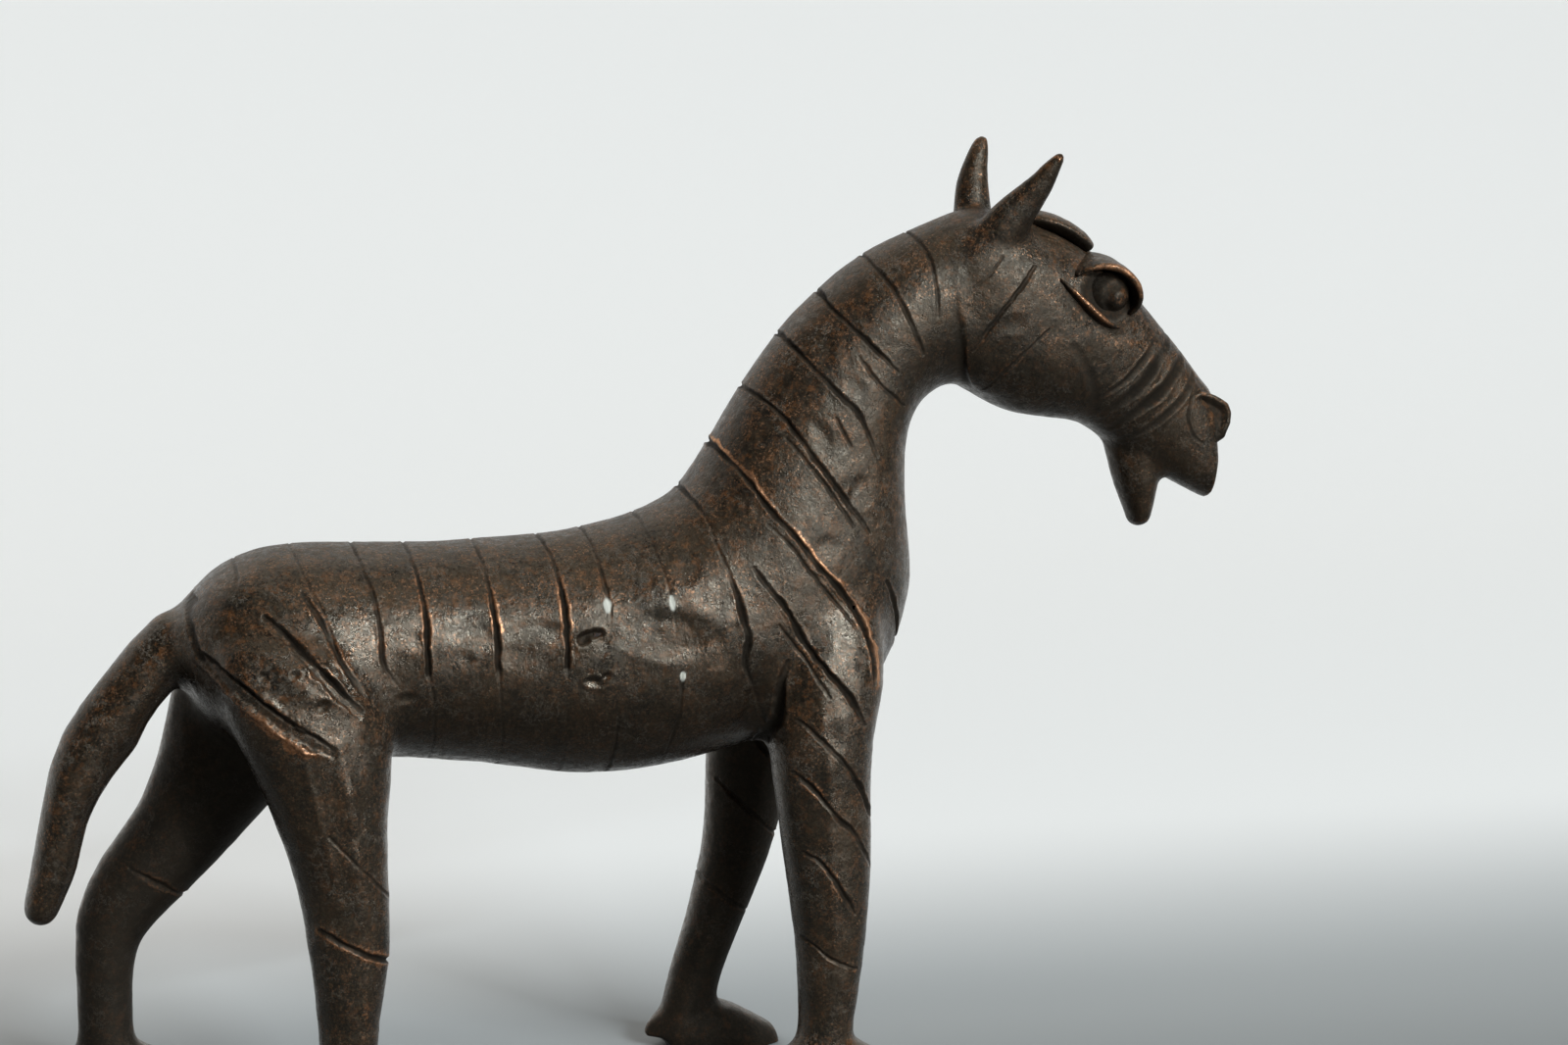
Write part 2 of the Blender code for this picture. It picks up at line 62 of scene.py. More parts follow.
# ---------------------------------------------------------------- members of the casting
MEMBERS = (
    "barrel", "neck_and_chest", "head", "tail",
    "front_leg_right", "front_leg_left", "hind_leg_right", "hind_leg_left",
    "hoof_front_right", "hoof_front_left", "hoof_hind_right", "hoof_hind_left",
    "ear_right", "ear_left", "lower_jaw",
)
INNER = ("clay_core", "core_pin_front_left", "core_pin_front_right",
         "core_pin_rear_left", "core_pin_rear_right")
SKIN_VOXEL = 0.36
GROW = 0.25
SMOOTH_ROUNDS = 90
SOFTNESS = {"barrel": 1.0, "neck_and_chest": 1.0, "head": 0.3, "tail": 0.15, "leg": 0.5, "hoof": 0.25,
            "ear": 0.08, "lower_jaw": 0.08}
MUZZLE_START = 79.0
MUZZLE_SOFTNESS = 0.05
LABEL_ROUNDS = 25
TAIL_REGAIN = 0.45

# ---------------------------------------------------------------- scored lines
# A cut follows (x, z, strength) points on the flank. side is -1 for the right flank, 1 for
# the left and 0 for a cut that runs over the top to both.
# edge says how square the cut's floor is, and copper_side which of its lips is rubbed bare.
Cut = namedtuple("Cut", "points half_width depth lip copper side members edge copper_side")
TORSO = ("barrel", "neck_and_chest")
FRONT = ("neck_and_chest", "front_leg_right", "front_leg_left", "head")
HAUNCH = ("hind_leg_right", "barrel", "tail")
HEAD = ("head", "neck_and_chest")


def cut(members, *points, half_width=0.38, depth=0.5, lip=0.08, copper=0.6, side=0, edge=3, copper_side=0):
    return Cut(points, half_width, depth, lip, copper, side, members, edge, copper_side)


BARREL_CUTS = [
    cut(TORSO, (-60, 81, 0.6), (-60, 78.5, 0.4), (-60.5, 77, 0)),
    cut(TORSO, (-52, 82, 0.5), (-51, 78.5, 0.4), (-49, 74, 0.35), (-47.5, 69, 0.5), (-46, 65, 0.1)),
    cut(TORSO, (-43, 82, 0.8), (-42.5, 79, 0.8), (-41.5, 75, 0.7), (-41, 70, 0.7), (-41, 67, 0.6),
        (-39, 63.5, 0.15)),
    cut(TORSO, (-35.5, 82, 0.8), (-35, 78.5, 0.8), (-34.5, 72.5, 1), (-34.5, 65.5, 1.1), (-34.3, 64, 0.3),
        (-33.5, 59.5, 0.2), (-33, 51, 0.2)),
    cut(TORSO, (-25.5, 82, 0.8), (-25, 76, 0.9), (-24.5, 69, 1.2), (-24.5, 65.5, 1.1), (-24.3, 64, 0.3),
        (-24, 60, 0.2), (-23, 49, 0.25)),
    cut(TORSO, (-16, 82.5, 0.8), (-15, 78, 0.9), (-14.5, 73, 1.2), (-14.5, 65.5, 1.1), (-14.5, 64, 0.2),
        (-14.5, 56, 0.15), (-14, 48, 0.2)),
    cut(TORSO, (-9.5, 83.5, 0.8), (-9, 80.5, 0.7), (-8.5, 76, 0.6), (-8, 73.5, 0.4), (-8, 71, 0)),
    cut(TORSO, (-7, 58.5, 0), (-7, 56.5, 0.4), (-7, 49.5, 0.5), (-7, 46.5, 0.3)),
    cut(TORSO, (-1.5, 85.5, 0.7), (-1, 83, 0.5), (-0.5, 80, 0.3), (0.5, 76, 0.35), (1, 72.5, 0.2),
        (1.5, 68, 0)),
    cut(TORSO, (2, 64, 0), (2, 62.5, 0.5), (2, 58, 0.5), (1, 50.5, 0.3), (1, 47.5, 0.2)),
    cut(TORSO, (5, 89, 1), (6, 87, 1), (7.5, 84, 0.5), (8, 81.5, 0.4), (10, 75.5, 0.7), (11, 71.5, 1),
        (12, 67.5, 1.1), (11.5, 64, 0.8), (14, 58, 0.3), (16, 52, 0.2), half_width=0.45,
        copper=0.45),
]
NECK_CUTS = [
    cut(FRONT, (9.5, 95.5, 0.7), (11, 93, 0.8), (13, 90.5, 0.8), (16, 86, 0.8), (19.5, 82, 0.9),
        (22.5, 78, 1), (27, 73, 1.1), (29.5, 68.5, 1.2), (31, 63, 1.1), (31, 60, 0.5),
        half_width=0.42, lip=0.16, copper=1.1, copper_side=1),
    cut(FRONT, (15.5, 84, 0.2), (18.5, 81, 0.5), (21.5, 77, 0.6), (26, 71.5, 0.6), (28.5, 68, 0.2),
        half_width=0.3, copper=0.5),
    cut(FRONT, (13, 78, 0.5), (15, 75, 0.8), (18, 71.5, 1), (20, 67.5, 1), (24, 62, 1), (27.5, 57.5, 0.9),
        (29, 54.5, 0.4), copper=0.32),
    cut(FRONT, (16.5, 69.5, 0.3), (20, 65, 0.6), (23.5, 59, 0.3), half_width=0.34, copper=0.6),
    cut(FRONT, (14.5, 103, 0.6), (18.5, 99.5, 0.8), (20.5, 96.5, 0.8), (24, 91.5, 0.9), (27, 87.5, 0.9),
        (31, 82, 0.4), copper=0.32),
    cut(FRONT, (19, 96, 0.3), (22.5, 91.5, 0.6), (25.5, 87.5, 0.6), (28.5, 83, 0.3), half_width=0.35,
        copper=0.4),
    cut(FRONT, (20, 111, 0.6), (23, 106.5, 0.8), (27, 102, 0.8), (29.5, 99.5, 0.7), (32.5, 93, 0.4),
        copper=0.32),
    cut(FRONT, (26.2, 98.8, 0.4), (27.7, 96, 0.6), (28.4, 94.5, 0.2), half_width=0.3, copper=0.6),
    cut(FRONT, (26.5, 117, 0.6), (27, 114.5, 0.7), (29.5, 111.5, 0.8), (32.5, 108.5, 0.8), (36, 105, 0.4),
        copper=0.4),
    cut(FRONT, (30, 107.5, 0.3), (33, 103.5, 0.5), (37, 100, 0.5), copper=0.3),
    cut(FRONT, (33.5, 121.5, 0.6), (34, 120, 0.6), (36, 116.5, 0.7), (38, 112, 0.7), (40, 107.5, 0.4),
        copper=0.4),
    cut(FRONT, (40, 125, 0.4), (40.5, 124, 0.4), (41.5, 121, 0.4), (42, 117, 0.4), (42, 113, 0.2),
        copper=0.3),
    cut(FRONT, (34, 74.5, 0.5), (36, 70, 0.9), (37.5, 64.5, 0.8), (38, 62, 0.5), copper=0.3),
]
FACE_CUTS = [
    cut(HEAD, (57, 120, 0.3), (53.5, 115.7, 0.6), (50.5, 112, 0.6), (48, 108, 0.2), half_width=0.4,
        depth=0.45, copper=0.2),
    cut(HEAD, (52, 121.5, 0.3), (50, 119, 0.5), (47.5, 117, 0.2), half_width=0.35, depth=0.4, copper=0.2),
    cut(HEAD, (59, 110.7, 0.3), (55, 107, 0.5), (53, 105, 0.5), (50.5, 102, 0.5), half_width=0.32,
        depth=0.3, copper=0.55),
    cut(HEAD, (80.3, 109.4, 0.2), (78.1, 106.3, 0.8), (74.8, 102.1, 1), (71.1, 99, 0.8), (68.9, 97.7, 0.2),
        half_width=0.75, depth=0.24, lip=0.13, copper=0.12, edge=2),
    cut(HEAD, (82.2, 106.2, 0.2), (80, 103, 0.9), (77.1, 99.9, 1), (73.4, 97.2, 0.8), (70.8, 95.5, 0.3),
        half_width=0.8, depth=0.28, lip=0.15, copper=0.12, edge=2),
    cut(HEAD, (83.8, 102.9, 0.3), (82.3, 100.5, 0.8), (79.3, 97.4, 0.9), (75.6, 94.7, 0.7), (72.7, 93.3, 0.3),
        half_width=0.6, depth=0.2, lip=0.1, copper=0.1, edge=2),
    cut(HEAD, (77.5, 109.2, 0.1), (75.4, 106.3, 0.6), (72, 102.8, 0.7), (68.3, 100.3, 0.2), half_width=0.6,
        depth=0.3, lip=0.15, copper=0, edge=2),
    cut(HEAD, (63, 108, 0.2), (66, 103.5, 0.5), (67.5, 98.5, 0.3), half_width=1.1, depth=0.35, copper=0,
        edge=2),
    cut(HEAD, (83.2, 99.5, 0.7), (82.6, 96.3, 1), (83.6, 93.6, 0.7), (85.4, 92.4, 0.3), half_width=0.4,
        depth=0.2, copper=0),
]
LEG_CUTS = [
    cut(("front_leg_right",), (18.5, 56, 0.3), (20, 55, 0.7), (23.5, 51.5, 0.9), (27, 47.3, 0.9),
        (30.5, 41, 0.7), side=-1, copper=0.35),
    cut(("front_leg_right",), (18.5, 48, 0.4), (21.5, 45, 0.7), (24.5, 41.3, 0.8), (27, 39, 0.7),
        (30.5, 33, 0.4), side=-1, half_width=0.42),
    cut(("front_leg_right",), (20, 36, 0.5), (22.5, 34.3, 0.7), (25.5, 29.8, 0.7), (27.5, 26.5, 0.3),
        side=-1, half_width=0.42),
    cut(("front_leg_right", "barrel", "neck_and_chest"), (18, 64, 0.2), (17.3, 61.5, 0.9), (16.8, 58, 1.2),
        (16.3, 54.5, 1.1), (15.4, 51, 0.8), side=-1, half_width=0.55, depth=0.6, copper=0),
    cut(("front_leg_right",), (22.3, 58, 0.2), (23, 50, 0.7), (23.8, 40, 0.8), (24.2, 30, 0.8), (24.4, 18, 0.4),
        side=-1, half_width=1.3, depth=-0.35, lip=0, copper=0.22, edge=2),
    cut(("hind_leg_right",), (-48, 56, 0.3), (-46.8, 49, 0.9), (-45.8, 42, 0.9), (-45, 34, 0.6), (-45, 26, 0.2),
        side=-1, half_width=1.7, depth=-0.5, lip=0, copper=0.26, edge=2),
    cut(("hind_leg_right",), (-53.5, 60, 0.2), (-52.6, 53, 0.7), (-50.5, 44, 0.8), (-48.8, 37, 0.5), (-48, 31, 0.1),
        side=-1, half_width=0.9, depth=-0.3, lip=0, copper=0.28, edge=2),
    cut(("hind_leg_right",), (-44.3, 21, 0.2), (-44.6, 15, 0.7), (-45, 9, 0.5), side=-1, half_width=1.0,
        depth=-0.3, lip=0, copper=0.5, edge=2),
    cut(("front_leg_right",), (20.5, 23, 0.3), (24, 20, 0.5), (28, 18, 0.3), side=-1, half_width=0.35),
    cut(("front_leg_left",), (12.5, 53, 0.4), (17, 49, 0.8), (22, 43, 0.8), (25, 38, 0.5), side=1),
    cut(("front_leg_left",), (12, 42, 0.4), (16, 38, 0.7), (21, 33, 0.5), side=1, half_width=0.42),
    cut(("front_leg_left",), (9, 27, 0.3), (13, 24, 0.6), (18, 20, 0.4), side=1, half_width=0.42),
    # The haunch has two flat-bottomed scores and a finer one ahead of them.
    cut(HAUNCH, (-65.5, 67.6, 0.5), (-62.5, 65, 0.8), (-58.5, 61.7, 1), (-55, 58.9, 1), (-52.3, 57.2, 0.9),
        (-48.7, 54.7, 0.3), side=-1, half_width=0.95, depth=0.5, lip=0.2, copper=0.75, edge=6, copper_side=-1),
    cut(HAUNCH, (-66, 68.8, 0.5), (-62.3, 65.9, 0.9), (-58.3, 62.6, 1), (-54.7, 59.8, 1), (-52, 58.1, 0.9),
        (-48.4, 55.4, 0.3), side=-1, half_width=0.34, depth=0.5, lip=0, copper=0.2),
    cut(HAUNCH, (-57, 73.2, 0.6), (-54.5, 70.9, 0.8), (-51.5, 67.6, 1), (-48.3, 64, 1), (-44.8, 60, 0.5),
        side=-1, half_width=0.75, depth=0.4, lip=0.12, copper=0.5, edge=6),
    cut(HAUNCH, (-57, 73.8, 0.9), (-54.1, 71.3, 1), (-51.1, 68, 1), (-47.9, 64.4, 1), (-44.4, 60.4, 0.5),
        side=-1, half_width=0.34, depth=0.45, copper=0.3),
    cut(HAUNCH, (-51.7, 76.7, 0.4), (-49.7, 73.5, 0.6), (-48.8, 71.5, 0.7), (-46.8, 67, 0.7), (-44, 62.6, 0.2),
        side=-1, half_width=0.45, depth=0.45),
    cut(("hind_leg_left", "barrel", "tail"), (-70, 66, 0.4), (-66, 62, 0.9), (-61, 57, 0.9), (-57, 53, 0.4),
        side=1, half_width=0.8, depth=0.6, copper=0.8, edge=6),
    cut(("hind_leg_left", "barrel"), (-60, 74, 0.5), (-56, 69, 0.9), (-51, 63, 0.5), side=1,
        half_width=0.7, copper=0.6, edge=6),
    cut(("hind_leg_right",), (-50.5, 29, 0.5), (-46, 26.3, 0.8), (-40.5, 23.5, 0.8), side=-1,
        half_width=0.45),
    cut(("hind_leg_right",), (-49.5, 43, 0.3), (-45, 38, 0.4), (-40.5, 33, 0.4), side=-1,
        half_width=0.35, depth=0.35),
    cut(("hind_leg_left",), (-76, 34, 0.4), (-71, 31, 0.8), (-66, 27, 0.5), side=1, half_width=0.45),
    cut(("tail", "barrel"), (-65.5, 75, 0.6), (-66.7, 73.3, 0.5), (-66.5, 70.5, 0.5), (-65.8, 67.5, 0.6),
        half_width=0.45, depth=0.4, copper=0.2),
]
CUTS = BARREL_CUTS + NECK_CUTS + FACE_CUTS + LEG_CUTS

# A dent is an oval, or a rectangle where square is high, pressed into one flank at (x, z).
Dent = namedtuple("Dent", "x z half_x half_z turn depth square rim")
RIGHT_DENTS = [
    Dent(-12.2, 68.8, 0.85, 0.8, 20, 0.7, 3, 0.06), Dent(-10.7, 69.5, 1.3, 0.5, 6, 0.7, 3, 0.08),
    Dent(-10.6, 62.6, 1.3, 0.6, -12, 0.35, 2, 0.12), Dent(-9.0, 63.3, 0.7, 0.5, 30, 0.35, 2, 0.12),
    Dent(14.0, 57.0, 2.2, 5.0, 0, 0.5, 2, 0),
    Dent(-58.0, 66.1, 0.6, 0.5, 20, 0.5, 2, 0.1),
    Dent(-53.8, 66.2, 0.6, 0.6, 0, 0.4, 2, 0.1),
    Dent(-50.2, 61.6, 1.0, 0.7, 30, 0.35, 2, 0.1),
    Dent(-55.5, 63.5, 3.0, 1.8, -35, 0.3, 2, 0.05),
    Dent(-28.5, 71.5, 3.0, 1.6, 10, 0.18, 2, 0.0),
    Dent(-20.0, 66.8, 3.2, 1.8, -5, 0.2, 2, 0.0),
    Dent(27.0, 88.0, 2.6, 1.6, 60, 0.2, 2, 0.0),
    Dent(26.0, 95.0, 2.0, 1.4, 40, 0.2, 2, 0.0),
]
LEFT_DENTS = [
    Dent(-11.2, 69.4, 1.6, 1.3, 5, 0.6, 4, 0.15),
    Dent(-4.0, 60.0, 5.5, 2.6, -10, 0.4, 2, 0.1),
    Dent(-44.0, 72.0, 4.0, 2.2, 20, 0.3, 2, 0.05),
    Dent(22.0, 90.0, 3.5, 2.0, 55, 0.3, 2, 0.05),
]
STRAY_DENTS = 70
# A facet is a place hammered flat, so that it faces between the window and the viewer: its
# middle at (x, z), its half sizes and how far it is driven in.
Facet = namedtuple("Facet", "x z half_x half_z depth")
FACET_AZIMUTH = 6.5
FACET_ELEVATION = 18.0
RIGHT_FACETS = [
    Facet(-2.2, 68.4, 7.2, 3.4, 0.40), Facet(-29.6, 69.6, 4.2, 2.0, 0.12), Facet(-19.6, 69.2, 4.2, 2.1, 0.14),
    Facet(-38.5, 69.5, 2.8, 1.8, 0.08), Facet(-59.0, 66.7, 2.4, 2.0, 0.16), Facet(-54.4, 68.6, 2.4, 1.5, 0.14),
    Facet(-50.8, 60.0, 2.4, 2.2, 0.16), Facet(25.8, 67.0, 1.4, 3.6, 0.12), Facet(24.3, 78.8, 2.6, 2.6, 0.05),
    Facet(29.6, 86.0, 1.5, 3.4, 0.10), Facet(24.2, 108.6, 2.0, 2.4, 0.06), Facet(28.4, 101.5, 2.2, 2.6, 0.05),
    Facet(22.9, 95.2, 2.2, 2.8, 0.04),
]
LEFT_FACETS = [
    Facet(-3.0, 69.0, 6.0, 3.0, 0.25), Facet(-24.0, 68.8, 4.2, 1.9, 0.12), Facet(-39.0, 70.0, 2.6, 1.6, 0.08),
    Facet(-56.0, 67.0, 2.8, 2.0, 0.14), Facet(22.0, 76.0, 2.6, 3.2, 0.14), Facet(27.0, 97.0, 2.2, 3.0, 0.14),
]
FACET_DEEPEST = 0.45
RESIDUE_SPOTS = [(-8.4, 73.4, 0.55, 1.15), (0.9, 73.3, 0.4, 0.95), (2.2, 62.9, 0.32, 0.7)]


# ---------------------------------------------------------------- mesh helpers
def smoothstep(low, high, value):
    t = np.clip((value - low) / (high - low), 0, 1)
    return t * t * (3 - 2 * t)


def noise(points, size, seed):
    """Smooth noise from -1 to 1 whose bumps are about size across."""
    cell = points / size + seed * 13.7
    base = np.floor(cell).astype(np.int64)
    part = cell - base
    part = part * part * (3 - 2 * part)
    total = np.zeros(len(points))
    for corner in np.ndindex(2, 2, 2):
        key = base + np.array(corner)
        mixed = key[:, 0] * 73856093 ^ key[:, 1] * 19349663 ^ key[:, 2] * 83492791 ^ seed * 961748927
        mixed = (mixed ^ (mixed >> 13)) * 1274126177
        value = ((mixed >> 8) & 0xFFFF) / 32767.5 - 1
        weight = np.prod(np.where(corner, part, 1 - part), axis=1)
        total += value * weight
    return total


def gathered(nodes, grow):
    """One mesh made of the CAD nodes, each swollen by grow, as points and faces."""
    points = []
    faces = []
    owner = []
    for name in nodes:
        form = bmesh.new()
        form.from_mesh(frame["nodes"][name].data)
        bmesh.ops.remove_doubles(form, verts=form.verts, dist=1e-6)
        form.normal_update()
        start = len(points)
        points += [tuple(vert.co / MM + vert.normal * grow) for vert in form.verts]
        form.verts.index_update()
        faces += [tuple(vert.index + start for vert in face.verts) for face in form.faces]
        owner += [name] * len(form.faces)
        form.free()
    return points, faces, owner


def add_forms(points, faces, owner, forms):
    for name, (form_points, form_faces) in forms:
        start = len(points)
        points += [tuple(p) for p in form_points]
        faces += [tuple(k + start for k in face) for face in form_faces]
        owner += [name] * len(form_faces)


def tube(rings):
    """A closed tube through rings of points."""
    count = len(rings[0])
    points = np.concatenate(rings + [rings[0].mean(axis=0)[None], rings[-1].mean(axis=0)[None]])
    faces = []
    for k in range(len(rings) - 1):
        for j in range(count):
            a, b = k * count + j, k * count + (j + 1) % count
            faces.append((a, b, b + count, a + count))
    last = (len(rings) - 1) * count
    start, end = len(rings) * count, len(rings) * count + 1
    for j in range(count):
        faces.append(((j + 1) % count, j, start))
        faces.append((last + j, last + (j + 1) % count, end))
    return points, faces


def voxel_skin(points, faces, voxel):
    """The outer surface of overlapping closed shapes as triangles."""
    mesh = bpy.data.meshes.new("skin")
    mesh.from_pydata(points, [], faces)
    shape = bpy.data.objects.new("skin", mesh)
    bpy.context.scene.collection.objects.link(shape)
    remesh = shape.modifiers.new("Remesh", "REMESH")
    remesh.mode = "VOXEL"
    remesh.voxel_size = voxel
    remesh.adaptivity = 0
    result = shape.evaluated_get(bpy.context.evaluated_depsgraph_get()).to_mesh()
    count = len(result.vertices)
    skin = np.zeros(count * 3)
    result.vertices.foreach_get("co", skin)
    result.calc_loop_triangles()
    triangles = np.zeros(len(result.loop_triangles) * 3, np.int32)
    result.loop_triangles.foreach_get("vertices", triangles)
    bpy.data.objects.remove(shape)
    bpy.data.meshes.remove(mesh)
    return largest_island(skin.reshape(-1, 3), triangles.reshape(-1, 3).astype(np.int64))


def compact(values, triangles):
    """The mesh without unused points."""
    used = np.unique(triangles)
    place = np.zeros(len(values), np.int64)
    place[used] = np.arange(len(used))
    return values[used], place[triangles]


def largest_island(values, triangles):
    label = np.arange(len(values))
    edges = edges_of(triangles)
    while True:
        low = np.minimum(label[edges[:, 0]], label[edges[:, 1]])
        fresh = label.copy()
        np.minimum.at(fresh, edges[:, 0], low)
        np.minimum.at(fresh, edges[:, 1], low)
        fresh = fresh[fresh]
        if np.array_equal(fresh, label):
            break
        label = fresh
    biggest = np.bincount(label).argmax()
    return compact(values, triangles[label[triangles[:, 0]] == biggest])


def edges_of(triangles):
    pairs = np.concatenate((triangles[:, [0, 1]], triangles[:, [1, 2]], triangles[:, [2, 0]]))
    pairs.sort(axis=1)
    key = np.unique(pairs[:, 0] * (triangles.max() + 1) + pairs[:, 1])
    return np.stack((key // (triangles.max() + 1), key % (triangles.max() + 1)), axis=1)


class Neighbours:
    """Who is joined to whom, laid out for fast averages."""

    def __init__(self, triangles, count):
        self.edges = edges_of(triangles)
        both = np.concatenate((self.edges, self.edges[:, ::-1]))
        both = both[np.argsort(both[:, 0], kind="stable")]
        self.other = both[:, 1]
        self.degree = np.bincount(both[:, 0], minlength=count)
        self.start = np.concatenate(([0], np.cumsum(self.degree)[:-1]))

    def mean(self, values):
        return np.add.reduceat(values[self.other], self.start) / self.degree[:, None]

    def relaxed(self, values, weight, rounds):
        """values, one row per point, averaged with their neighbours' in several rounds."""
        values = values.astype(np.float32)
        pull = np.broadcast_to(np.asarray(weight, np.float32), (len(values),))[:, None]
        for _ in range(rounds):
            values = values + pull * (self.mean(values) - values).astype(np.float32)
        return values.astype(float)


def normals_of(points, triangles):
    a, b, c = (points[triangles[:, k]] for k in range(3))
    face = np.cross(b - a, c - a)
    total = np.zeros_like(points)
    for corner in range(3):
        for column in range(3):
            total[:, column] += np.bincount(triangles[:, corner], face[:, column], len(points))
    return total / np.maximum(np.linalg.norm(total, axis=1, keepdims=True), 1e-12)


def subdivided(values, triangles, wanted):
    """Triangles with a wanted corner are split at their edges' middles, and so are the
    neighbours' shared edges."""
    edges = edges_of(triangles)
    split = wanted[edges].any(axis=1)
    size = len(values)
    key = edges[:, 0] * size + edges[:, 1]
    middle = np.full(len(edges), -1)
    middle[split] = size + np.arange(split.sum())
    fresh = values[edges[split]].mean(axis=1)
    sides = []
    for a, b in ((0, 1), (1, 2), (2, 0)):
        low = np.minimum(triangles[:, a], triangles[:, b])
        high = np.maximum(triangles[:, a], triangles[:, b])
        sides.append(middle[np.searchsorted(key, low * size + high)])
    sides = np.stack(sides, axis=1)
    marks = sides >= 0
    count = marks.sum(axis=1)
    parts = [triangles[count == 0]]
    t, m = triangles[count == 3], sides[count == 3]
    parts += [np.stack(rows, 1) for rows in (
        (t[:, 0], m[:, 0], m[:, 2]), (t[:, 1], m[:, 1], m[:, 0]),
        (t[:, 2], m[:, 2], m[:, 1]), (m[:, 0], m[:, 1], m[:, 2]))]
    # One marked side: turn it to be the first.
    one = count == 1
    turn = (marks[one].argmax(axis=1)[:, None] + np.arange(3)) % 3
    t = np.take_along_axis(triangles[one], turn, 1)
    m = np.take_along_axis(sides[one], turn, 1)
    parts += [np.stack(rows, 1) for rows in (
        (t[:, 0], m[:, 0], t[:, 2]), (m[:, 0], t[:, 1], t[:, 2]))]
    # Two marked sides: turn the unmarked one to be the last.
    two = count == 2
    turn = ((~marks[two]).argmax(axis=1)[:, None] + 1 + np.arange(3)) % 3
    t = np.take_along_axis(triangles[two], turn, 1)
    m = np.take_along_axis(sides[two], turn, 1)
    parts += [np.stack(rows, 1) for rows in (
        (m[:, 0], t[:, 1], m[:, 1]), (t[:, 0], m[:, 0], m[:, 1]), (t[:, 0], m[:, 1], t[:, 2]))]
    return np.concatenate((values, fresh)), np.concatenate(parts)


def parted(values, triangles, field):
    """The two sides of a triangle mesh, cut where field is zero: above it, then below it."""
    inside = field > 0
    corner = inside[triangles]
    count = corner.sum(axis=1)
    mixed = (count == 1) | (count == 2)
    lone_inside = count[mixed] == 1
    first = (corner[mixed] == lone_inside[:, None]).argmax(axis=1)
    turned = np.take_along_axis(triangles[mixed], (first[:, None] + np.arange(3)) % 3, 1)
    pairs = np.sort(np.concatenate((turned[:, [0, 1]], turned[:, [0, 2]])), axis=1)
    unique, where = np.unique(pairs, axis=0, return_inverse=True)
    where = where.ravel()
    low, high = field[unique[:, 0]], field[unique[:, 1]]
    share = np.clip(low / (low - high), 0.1, 0.9)[:, None]
    fresh = values[unique[:, 0]] * (1 - share) + values[unique[:, 1]] * share
    a = len(values) + where[: len(turned)]
    b = len(values) + where[len(turned):]
    lone = np.stack((turned[:, 0], a, b), axis=1)
    pair = np.concatenate((np.stack((a, turned[:, 1], turned[:, 2]), axis=1),
                           np.stack((a, turned[:, 2], b), axis=1)))
    pair_inside = np.tile(~lone_inside, 2)
    values = np.concatenate((values, fresh))
    above = np.concatenate((triangles[count == 3], lone[lone_inside], pair[pair_inside]))
    below = np.concatenate((triangles[count == 0], lone[~lone_inside], pair[~pair_inside]))
    return compact(values, above), compact(values, below)


CAP_RINGS = 5


def capped(values, triangles):
    """The mesh with each open rim closed by a joint face."""
    size = len(values)
    start = triangles.ravel()
    end = triangles[:, [1, 2, 0]].ravel()
    forward = start * size + end
    open_side = ~np.isin(forward, end * size + start)
    follow = {}
    for a, b in zip(start[open_side], end[open_side]):
        follow.setdefault(int(a), []).append(int(b))
    caps = []
    extra = []
    while follow:
        first = next(iter(follow))
        loop = [first]
        here = first
        while True:
            options = follow[here]
            step = options.pop()
            if not options:
                del follow[here]
            if step == first:
                break
            loop.append(step)
            here = step
            if here not in follow:
                break
        ring = np.array(loop)
        rim = values[ring]
        centre = rim.mean(axis=0)
        outer = ring
        for level in range(1, CAP_RINGS):
            share = level / CAP_RINGS
            inner = size + sum(len(block) for block in extra) + np.arange(len(ring))
            extra.append(rim * (1 - share) + centre * share)
            ahead_outer, ahead_inner = np.roll(outer, -1), np.roll(inner, -1)
            caps.append(np.stack((ahead_outer, outer, inner), axis=1))
            caps.append(np.stack((ahead_outer, inner, ahead_inner), axis=1))
            outer = inner
        middle = size + sum(len(block) for block in extra)
        extra.append(centre[None])
        caps.append(np.stack((np.roll(outer, -1), outer, np.full(len(ring), middle)), axis=1))
    if caps:
        values = np.concatenate([values] + extra)
        triangles = np.concatenate([triangles] + caps)
    return values, triangles


# ---------------------------------------------------------------- shaping the skin
def spline(points, steps=5):
    """A smooth line through points, as rows."""
    rows = np.array(points, float)
    ends = np.concatenate((2 * rows[:1] - rows[1:2], rows, 2 * rows[-1:] - rows[-2:-1]))
    share = (np.arange(steps) / steps)[:, None]
    parts = []
    for k in range(len(rows) - 1):
        a, b, c, d = ends[k: k + 4]
        parts.append(0.5 * (2 * b + (c - a) * share + (2 * a - 5 * b + 4 * c - d) * share ** 2
                            + (3 * b - a - 3 * c + d) * share ** 3))
    return np.concatenate(parts + [rows[-1:]])


def beside(flat, line):
    """For each flat (x, z) point: its signed distance to the line, and the line's strength there.
    The distance is positive above a line that runs to the right."""
    nearest = np.full(len(flat), np.inf)
    sign = np.ones(len(flat))
    strength = np.zeros(len(flat))
    for a, b in zip(line[:-1], line[1:]):
        run = b[:2] - a[:2]
        away = flat - a[:2]
        share = np.clip(away @ run / max(run @ run, 1e-9), 0, 1)
        gap = away - share[:, None] * run
        distance = np.hypot(gap[:, 0], gap[:, 1])
        closer = distance < nearest
        nearest[closer] = distance[closer]
        side = run[0] * away[:, 1] - run[1] * away[:, 0]
        sign[closer] = np.where(side[closer] < 0, -1, 1)
        strength[closer] = (a[2] + (b[2] - a[2]) * share)[closer]
    return nearest * sign, strength


FAR_LEAN = 0.16
EYE_X, EYE_Z = 69.0, 115.7


